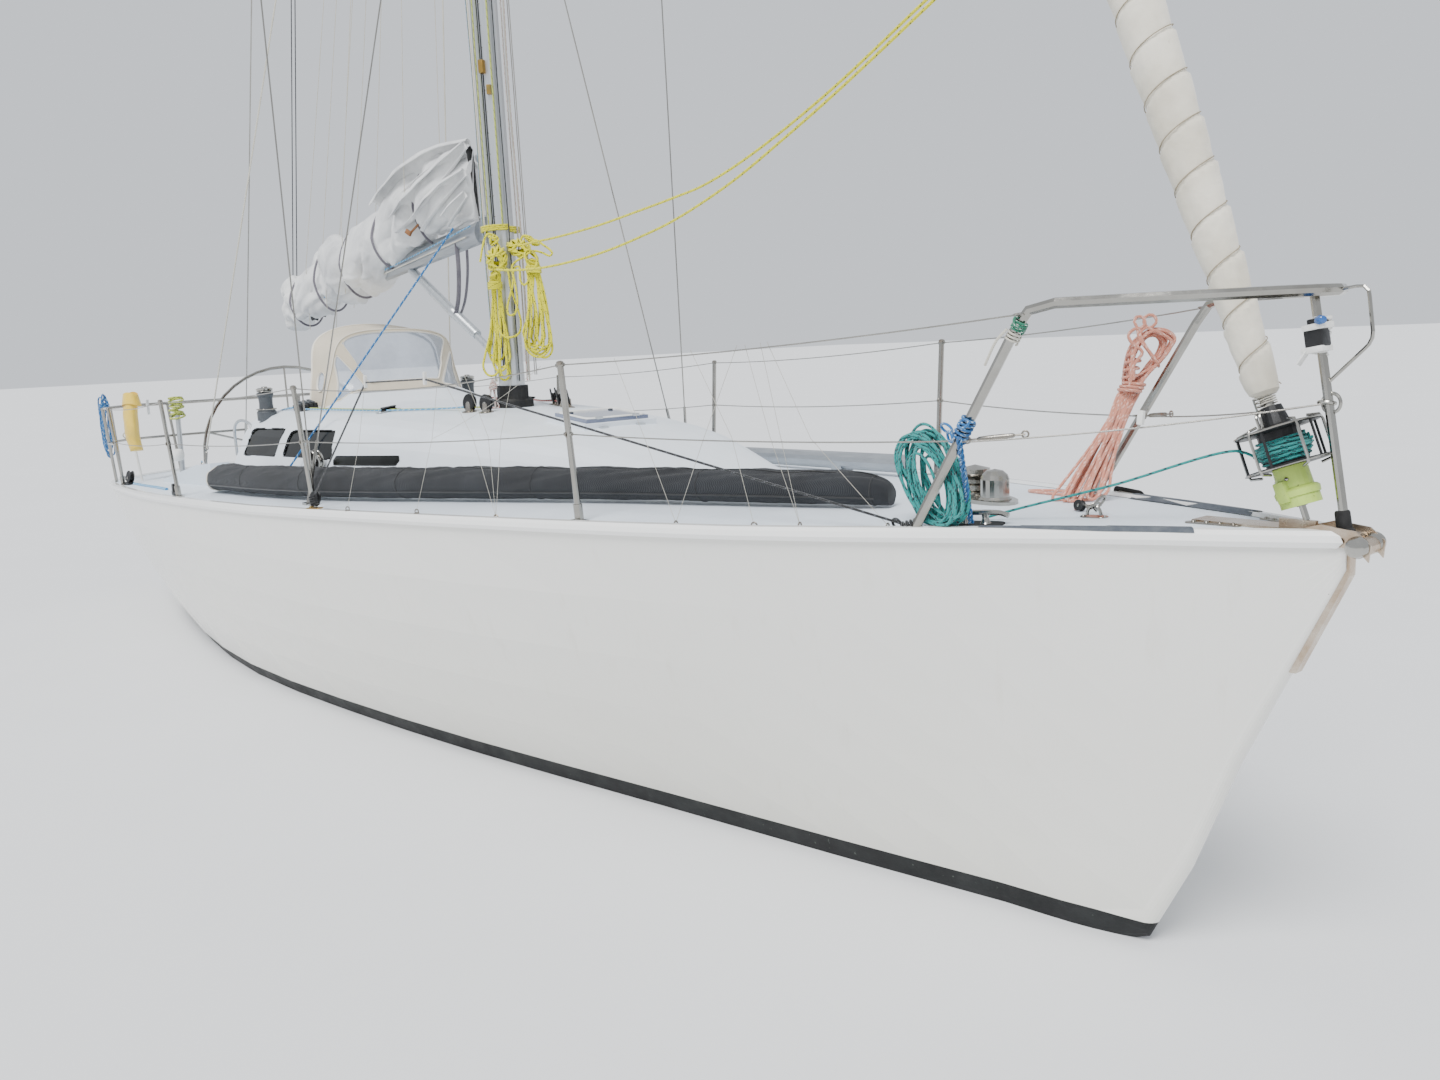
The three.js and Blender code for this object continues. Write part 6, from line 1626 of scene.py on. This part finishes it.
# Lines led aft along the roof, through the organiser to the clutches
roofLook = {"starboard": [[(4.560, -.285), (4.80, -.330), (5.246, -.496), (5.70, -.560), (6.30, -.600)],
    [(4.440, -.245), (4.75, -.290), (5.235, -.470), (5.72, -.530), (6.31, -.570)]],
    "port": [[(4.440, .235), (4.80, .310), (5.235, .470), (5.72, .530), (6.31, .570)],
        [(4.560, .270), (4.85, .350), (5.246, .496), (5.70, .560), (6.30, .600)]]}
roofFinish = {"starboard": [skyRope, limeRope], "port": [redRope, greenRope]}
clutchLook = {"aft": 6.36, "first": .525, "step": 0.030, "count": 4}
for word, side in bothSides:
    for i, route in enumerate(roofLook[word]):
        line = smoothLine([deckAt(a, y, 0.030 if a < 4.6 else 0.012) for a, y in route], 0.05)
        line = [Vector((p.x, p.y, max(p.z, deckAt(stemX - p.x, p.y).z + 0.006))) for p in line]
        addPiece(f"{word}_roof_line_{i + 1}", tubeShape(line, 0.005, 6), roofFinish[word][i], slot="canvas")
    sheave = [(0.020, 0), (0.022, 0.004), (0.014, 0.010), (0.022, 0.018), (0.018, 0.022)]
    sheaves = [turnedShape(sheave, deckAt(5.24, side * y, 0.008), deckFace(5.24, side * y), 18)
        for y in (.44, .47, .496)]
    plate = plateShape(roundedOutline(0.060, 0.150, 0.02), 0.005, deckAt(5.24, side * .47, 0.003),
        deckFace(5.24, side * .47))
    addPiece(f"{word}_organiser", plate, alloy)
    addPiece(f"{word}_organiser_sheaves", sheaves, darkPlastic)
    bodies, levers = [], []
    for k in range(clutchLook["count"]):
        y = side * (clutchLook["first"] + clutchLook["step"] * k)
        at, normal = deckAt(clutchLook["aft"], y), deckFace(clutchLook["aft"], y)
        bodies.append(blockShape((0.150, 0.026, 0.044), at + normal * 0.020, normal, (1, 0, 0)))
        levers.append(blockShape((0.115, 0.018, 0.010), at + normal * 0.050 + Vector((-0.012, 0, 0)),
            normal + Vector((0.12, 0, 0)), (1, 0, 0)))
    addPiece(f"{word}_clutches", bodies, darkPlastic)
    addPiece(f"{word}_clutch_levers", levers, greyPlastic)
    tails = []
    for k in range(3):
        y = side * (.535 + 0.03 * k)
        points = [deckAt(6.44, y, 0.02), deckAt(6.52, y + side * 0.02, 0.02),
            spot(6.80, side * (.60 + .02 * k), 1.62), spot(6.93, side * (.66 + .03 * k), 1.42)]
        tails.append(tubeShape(smoothLine(points, 0.02), 0.005, 6))
    addPiece(f"{word}_line_tails", tails, skyRope if side < 0 else greenRope)

# Blue line from the boom to the side deck, chrome foot block there
preventerLook = {"boom": (4.95, -.100, 2.700), "deck": (5.66, -1.030), "thick": 0.012}
padHere = deckAt(*preventerLook["deck"])
addLine("preventer_line", [spot(*preventerLook["boom"]), padHere + up * 0.03],
    preventerLook["thick"], blueRope)
addPiece("preventer_padeye", [padeyeShape(*preventerLook["deck"], 0.034, 0.4),
    shackleShape(padHere + up * 0.018, (0.1, 0.3, 1), 0.024)], dullSteel)
addBlock("preventer_block", padHere + up * 0.02, (0.12, 0.3, 1), 0.036, (1, 0.4, 0), strap=False)
addBlock("side_block", roofSide(5.255, 1.372, -1, 0.034) - up * 0.02, (0, -0.2, 1), 0.085, (1, 0.4, 0), steel)

# Boom: reef lines, strap, lazy jacks and topping lift
boomLines = {"blue": [(4.83, -.055, 2.70), (5.6, -.062, 2.60), (6.5, -.060, 2.505), (7.4, -.055, 2.42),
    (7.95, -.048, 2.37)],
    "cream": [(4.9, -.052, 2.645), (5.5, -.056, 2.585), (6.3, -.054, 2.505), (7.2, -.05, 2.42)]}
for name, finish in (("blue", skyRope), ("cream", creamRope)):
    addLine(f"boom_{name}_line", spots(*boomLines[name]), 0.009, finish, "boom", True, slot="teal_rope")
straps = []
for y in (-.032, .032):
    strap = spots((5.06, y, 2.63), (5.07, y * 0.9, 2.46), (5.12, y * 0.7, 2.30), (5.20, y * 0.5, 2.20))
    straps.append(tubeShape(smoothLine(strap, 0.03), 0.013, 8, flat=0.3))
addPiece("boom_straps", straps, webbing, "boom")
vangLow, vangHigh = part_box("vang")
vangFoot, vangTop = Vector((vangHigh[0] - 0.03, 0, vangLow[2] + 0.03)), Vector((vangLow[0] + 0.03, 0,
    vangHigh[2] - 0.03))
vangSleeve = [(0.026, 0), (0.031, 0.01), (0.031, 0.30), (0.034, 0.305), (0.034, 0.33), (0.029, 0.335),
    (0.029, 0.62), (0.024, 0.63)]
addPiece("vang_sleeve", turnedShape(vangSleeve, vangFoot.lerp(vangTop, 0.2), vangTop - vangFoot),
    alloy, "boom")
jacks = [(6.69, 2.88), (5.61, 3.09), (7.46, 2.66), (7.07, 2.80)]
for word, side in bothSides:
    lines = []
    for aft, z in jacks:
        low = spot(aft, side * 0.10, z - 0.45)
        lines.append(tubeShape([low, spot(aft - 0.1, side * 0.12, z),
            spot(4.72 + (aft - 4.7) * 0.35, side * 0.07, 6.2)], 0.0025, 5))
    lines.append(tubeShape([spot(4.9, side * .07, 6.1), spot(4.68, side * .06, 8.9)], 0.003, 5))
    addPiece(f"lazy_jacks_{word}", lines, creamRope, "boom")
addPiece("topping_lift", [tubeShape([spot(8.03, y, 2.45), spot(4.86, y * 0.5, 13.0)], 0.004, 6)
    for y in (-.012, .018)], blackRope, "boom")
addPiece("boom_end", [ringShape(spot(8.02, 0, 2.42), (1, 0, 0), 0.020, 0.004),
    blockShape((0.016, 0.075, 0.100), spot(8.068, 0, 2.40), (0.03, 0, 1))], darkPlastic, "boom")
sheave = [(0.008, -0.022), (0.034, -0.020), (0.027, 0), (0.034, 0.020), (0.008, 0.022)]
addPiece("mainsheet_blocks", [turnedShape(sheave, spot(aft, 0, z), (0, 1, 0), 20)
    for aft, z in ((7.45, 2.335), (7.62, 2.315))], darkPlastic, "boom")

# Running backstays, their tackles, and the lines at the stern
runnerLook = {"top": (4.68, 0.07, 7.55), "end": (7.40, 0.95, 1.40), "base": (7.42, 0.99),
    "car": (6.603, 1.375)}
for word, side in bothSides:
    top, end = (spot(aft, side * y, z) for aft, y, z in (runnerLook["top"], runnerLook["end"]))
    base, car = (deckAt(aft, side * y) for aft, y in (runnerLook["base"], runnerLook["car"]))
    over = Vector((0, side * 0.03, 0))
    addLine(f"{word}_runner", [top, end], 0.011, creamRope)
    addPiece(f"{word}_runner_screw", screwShape(end, end - up * 0.16 + over, 0.008), steel)
    addBlock(f"{word}_runner_block", end - up * 0.20 + over, (0, 0, 1), 0.048, (1, 0, 0), steel, strap=False)
    tackle = []
    for dx in (-.012, .012):
        tackle.append(tubeShape([end - up * 0.2 + Vector((dx, side * 0.03, 0)),
            base + up * 0.04 + Vector((dx * 0.5, 0, 0))], 0.004, 6))
    addPiece(f"{word}_runner_tackle", tackle, skyRope)
    eye = padeyeShape(runnerLook["base"][0], side * runnerLook["base"][1], 0.034, 0.0)
    addPiece(f"{word}_runner_padeye", eye, dullSteel)
    toward = (1, 0.1 * side, 0)
    addPiece(f"{word}_genoa_car", [blockShape((0.16, 0.034, 0.030), car + up * 0.016, up, toward),
        blockShape((0.060, 0.040, 0.060), car + up * 0.050, up, toward)], darkPlastic)

# Slim windows below the roof edge, and gaskets round the four side windows
windowLook = {"slim": ((4.42, 1.450), (5.15, 1.420), 0.023), "lift": 0.003, "gasket": 0.0045,
    "mid": [(5.189, 1.424), (5.295, 1.580), (5.948, 1.561), (5.948, 1.404)],
    "aft": [(6.085, 1.397), (6.075, 1.569), (6.668, 1.553), (6.705, 1.381)]}
for word, side in bothSides:
    (a0, z0), (a1, z1), half = windowLook["slim"]
    rows = []
    for i in range(41):
        t = i / 40
        fromEnd = min(t, 1 - t) * (a1 - a0)
        h = half * sqrt(max(0.0, 1 - (1 - min(1, fromEnd / half)) ** 2)) + 0.0005
        rows.append([roofSide(a0 + (a1 - a0) * t, z0 + (z1 - z0) * t + h * v, side,
            windowLook["lift"] + 0.003 * (1 - v * v)) for v in (-1, -.5, 0, .5, 1)])
    addPiece(f"{word}_slim_window", gridShape(rows), darkGlass)
    rim = [r[0] for r in rows] + [r[4] for r in reversed(rows)]
    seals = [tubeShape(rim, 0.0028, 6, True)]
    for corners in (windowLook["mid"], windowLook["aft"]):
        loop = []
        for (a, z), (b, w) in zip(corners, corners[1:] + corners[:1]):
            loop += [roofSide(a + (b - a) * k / 12, z + (w - z) * k / 12, side, 0.001) for k in range(1, 12)]
        seals.append(tubeShape(loop, windowLook["gasket"], 6, True))
    addPiece(f"{word}_window_seals", seals, rubber)

# Fore hatch: frame, hinges and handles on the lid, and pads for the hinges
lidTree = treeOf("fore_hatch")
hatchLook = {"middle": 1.3425, "long": 0.272, "wide": 0.342, "corner": 0.03, "handle": (1.245, .12),
    "hinge": (1.478, .11), "pad": (1.522, .11)}


def onLid(x, y, lift=0.0):
    place = lidTree.ray_cast(Vector((x, y, 2.4)), -up)[0]
    return (place or Vector((x, y, 1.65))) + up * lift


lidOutline = roundedOutline(hatchLook["long"], hatchLook["wide"], hatchLook["corner"])
lidRing = [onLid(hatchLook["middle"] + x, y, 0.001) for x, y in lidOutline]
addPiece("hatch_lid_frame", tubeShape(lidRing, 0.010, 8, True, 0.7), whitePlastic, "fore_hatch")
knob = [(0.014, 0), (0.013, 0.004), (0.006, 0.006)]
x, half = hatchLook["handle"]
addPiece("hatch_handles", [turnedShape(knob, onLid(x, y, 0.001), up, 16) for y in (-half, half)],
    greyPlastic, "fore_hatch")
x, half = hatchLook["hinge"]
addPiece("hatch_hinges", [blockShape((0.040, 0.040, 0.014), onLid(x, y, 0.004), up) for y in (-half, half)],
    alloy, "fore_hatch")
x, half = hatchLook["pad"]
pads = [blockShape((0.036, 0.048, 0.010), deckAt(stemX - x, y, 0.003), deckFace(stemX - x, y))
    for y in (-half, half)]
addPiece("hatch_hinge_pads", pads, alloy)


# Non-slip strips at the bow
def deckPatch(name, corners, finish, lift=0.003, across=6, along=24):
    a, b, c, d = [Vector((p[0], p[1], 0)) for p in corners]
    rows = []
    for i in range(along + 1):
        p, q = a.lerp(b, i / along), d.lerp(c, i / along)
        rows.append([deckAt(*p.lerp(q, j / across).xy, lift) for j in range(across + 1)])
    return addPiece(name, gridShape(rows), finish, slot="dark_plastic")


for word, side in bothSides:
    deckPatch(f"{word}_bow_grip", [(.330, side * .205), (.900, side * .440), (.915, side * .395),
        (.360, side * .170)], gripPaint)

# Yellow bag, staff, card, tube and ropes at the stern
slingLook = {"top": (8.72, -1.130, 1.775), "high": 0.44, "wide": 0.100, "deep": 0.050}


def slingBag():
    aft, y, z = slingLook["top"]
    rows = []
    for i in range(46):
        t = i / 45
        end = 1 if t < 0.93 else sqrt(max(0.04, 1 - ((t - 0.93) / 0.07) ** 2))
        wide = slingLook["wide"] * (0.72 + 0.28 * sin(pi * min(1, t * 1.1 + 0.1))) * end
        wide *= 1 if t > 0.05 else 0.6 + t * 8
        row = []
        for a in turnAngles(36):
            puff = 1 + 0.10 * noise.noise(Vector((cos(a) * 1.4, sin(a) * 1.4, t * 4)))
            across = y + sin(a) * slingLook["deep"] * puff - 0.02 * sin(t * 3)
            row.append(spot(aft + cos(a) * wide * puff + 0.02 * t, across, z - slingLook["high"] * t))
        rows.append(row)
    return capped(gridShape(rows, True), 36)


sling = addPiece("sling_bag", slingBag(), yellowCover, crease=50)
flap = []
for j in range(5):
    flap.append([spot(8.72 + 0.098 * cos(a) * (1 + 0.04 * j), -1.130 + 0.052 * sin(a) * (1 + 0.08 * j),
        1.790 - 0.022 * j + 0.012 * sin(2 * a)) for a in turnAngles(32, 1)])
addPiece("sling_flap", gridShape(flap), yellowCover)
addPiece("sling_ties",
    [tubeShape(smoothLine(spots((8.82, -1.16, 1.50), (8.88, -1.19, 1.46), (8.91, -1.15, 1.41)), 0.02), 0.005,
        6), ringShape(spot(8.83, -1.17, 1.49), (0, 1, 0.3), 0.018, 0.004)], creamRope)
addPiece("stern_staff", [tubeShape([spot(8.84, -1.10, 1.08), spot(8.92, -1.12, 1.51)], 0.010, 10),
    turnedShape([(0.014, 0), (0.018, 0.01), (0.010, 0.03)], spot(8.92, -1.12, 1.51), (0, 0, 1), 12)],
    whitePlastic)
addPiece("blank_card", blockShape((0.075, 0.004, 0.115), spot(8.56, -1.05, 1.68), up, (1, -0.5, 0)),
    whitePlastic)
dice = random.Random(4)
bundle = []
for k in range(7):
    a0 = dice.uniform(0, 6.28)
    loop = [spot(9.60 + 0.045 * cos(a) + dice.uniform(-.004, .004), -1.165 + 0.035 * sin(a + a0),
        1.51 + (0.27 - 0.012 * k) * sin(a)) for a in turnAngles(28)]
    bundle.append(tubeShape(loop, 0.006, 6, True))
bundle.append(wrapShape(spot(9.60, -1.165, 1.64), spot(9.60, -1.165, 1.70), 0.040, 0.010, 5))
addPiece("stern_bundle", bundle, blueRope)
addPiece("silver_tube", [tubeShape([deckAt(8.005, -.985, 0.02), spot(8.06, -.96, 1.62)], 0.018, 16),
    flangeShape(deckAt(8.005, -.985, 0.0), up, 0.018, 4)], alloy)
coilTop = []
for k in range(8):
    coilTop.append(ringShape(spot(8.06 + 0.01 * (k % 2), -.96, 1.61 + 0.020 * k),
        (0.15 - 0.3 * (k % 2), 0.2 * (k % 3) - 0.2, 1), 0.052 - 0.006 * (k % 3), 0.007, 24))
addPiece("tube_coil", coilTop, limeRope)
addPiece("stern_pod", turnedShape([(0.010, -0.045), (0.038, -0.036), (0.046, -0.010), (0.046, 0.016),
    (0.034, 0.040), (0.010, 0.046)], spot(7.95, -1.02, 1.33), (0.1, 0, 1), 24), whitePlastic)
addBlock("stern_block", deckAt(8.62, -1.24, 0.012), (0, 0.2, 1), 0.070, (1, 0.2, 0))
addPiece("stern_block_foot", blockShape((0.10, 0.045, 0.022), deckAt(8.62, -1.24, 0.010), up, (1, 0.1, 0)),
    darkPlastic)
addLine("deck_strap", [deckAt(a, y, 0.006) for a, y in ((8.55, -1.22), (8.1, -1.24), (7.7, -1.25),
    (7.3, -1.27))], 0.022, skyRope)
addLine("bent_tube", spots((7.00, -.86, 1.36), (7.02, -.85, 1.55), (6.92, -.84, 1.60), (6.76, -.82, 1.57),
    (6.72, -.82, 1.47)), 0.020, alloy, curve=True, sides=10)
far = []
for k in range(6):
    z = deckAt(7.4 + 0.12 * k, 1.01).z
    far.append(ringShape(spot(7.4 + 0.12 * k, 1.01, z + 0.012), (0.1, 0.1, 1), 0.055, 0.006, 24, squash=0.7))
addPiece("coaming_ropes", far, blueRope)

# Cockpit: winch tops, and the compass on the pedestal
for word, side in bothSides:
    at = spot(6.630, side * .742, 1.807)
    cap = [(0.034, -0.010), (0.052, -0.004), (0.054, 0.006), (0.040, 0.012), (0.020, 0.014), (0.018, 0.020),
        (0.004, 0.021)]
    addPiece(f"{word}_winch_top", [turnedShape(cap, at, up, 28), ringShape(at - up * 0.012, up, 0.049, 0.004),
        ringShape(at - up * 0.13, up, 0.062, 0.004)], steel)
compass = [(0.060, 0), (0.066, 0.012), (0.056, 0.040), (0.034, 0.060), (0.010, 0.066)]
addPiece("compass", turnedShape(compass, spot(8.300, 0, 1.405), up, 32), darkGlass)
print("fittings placed")
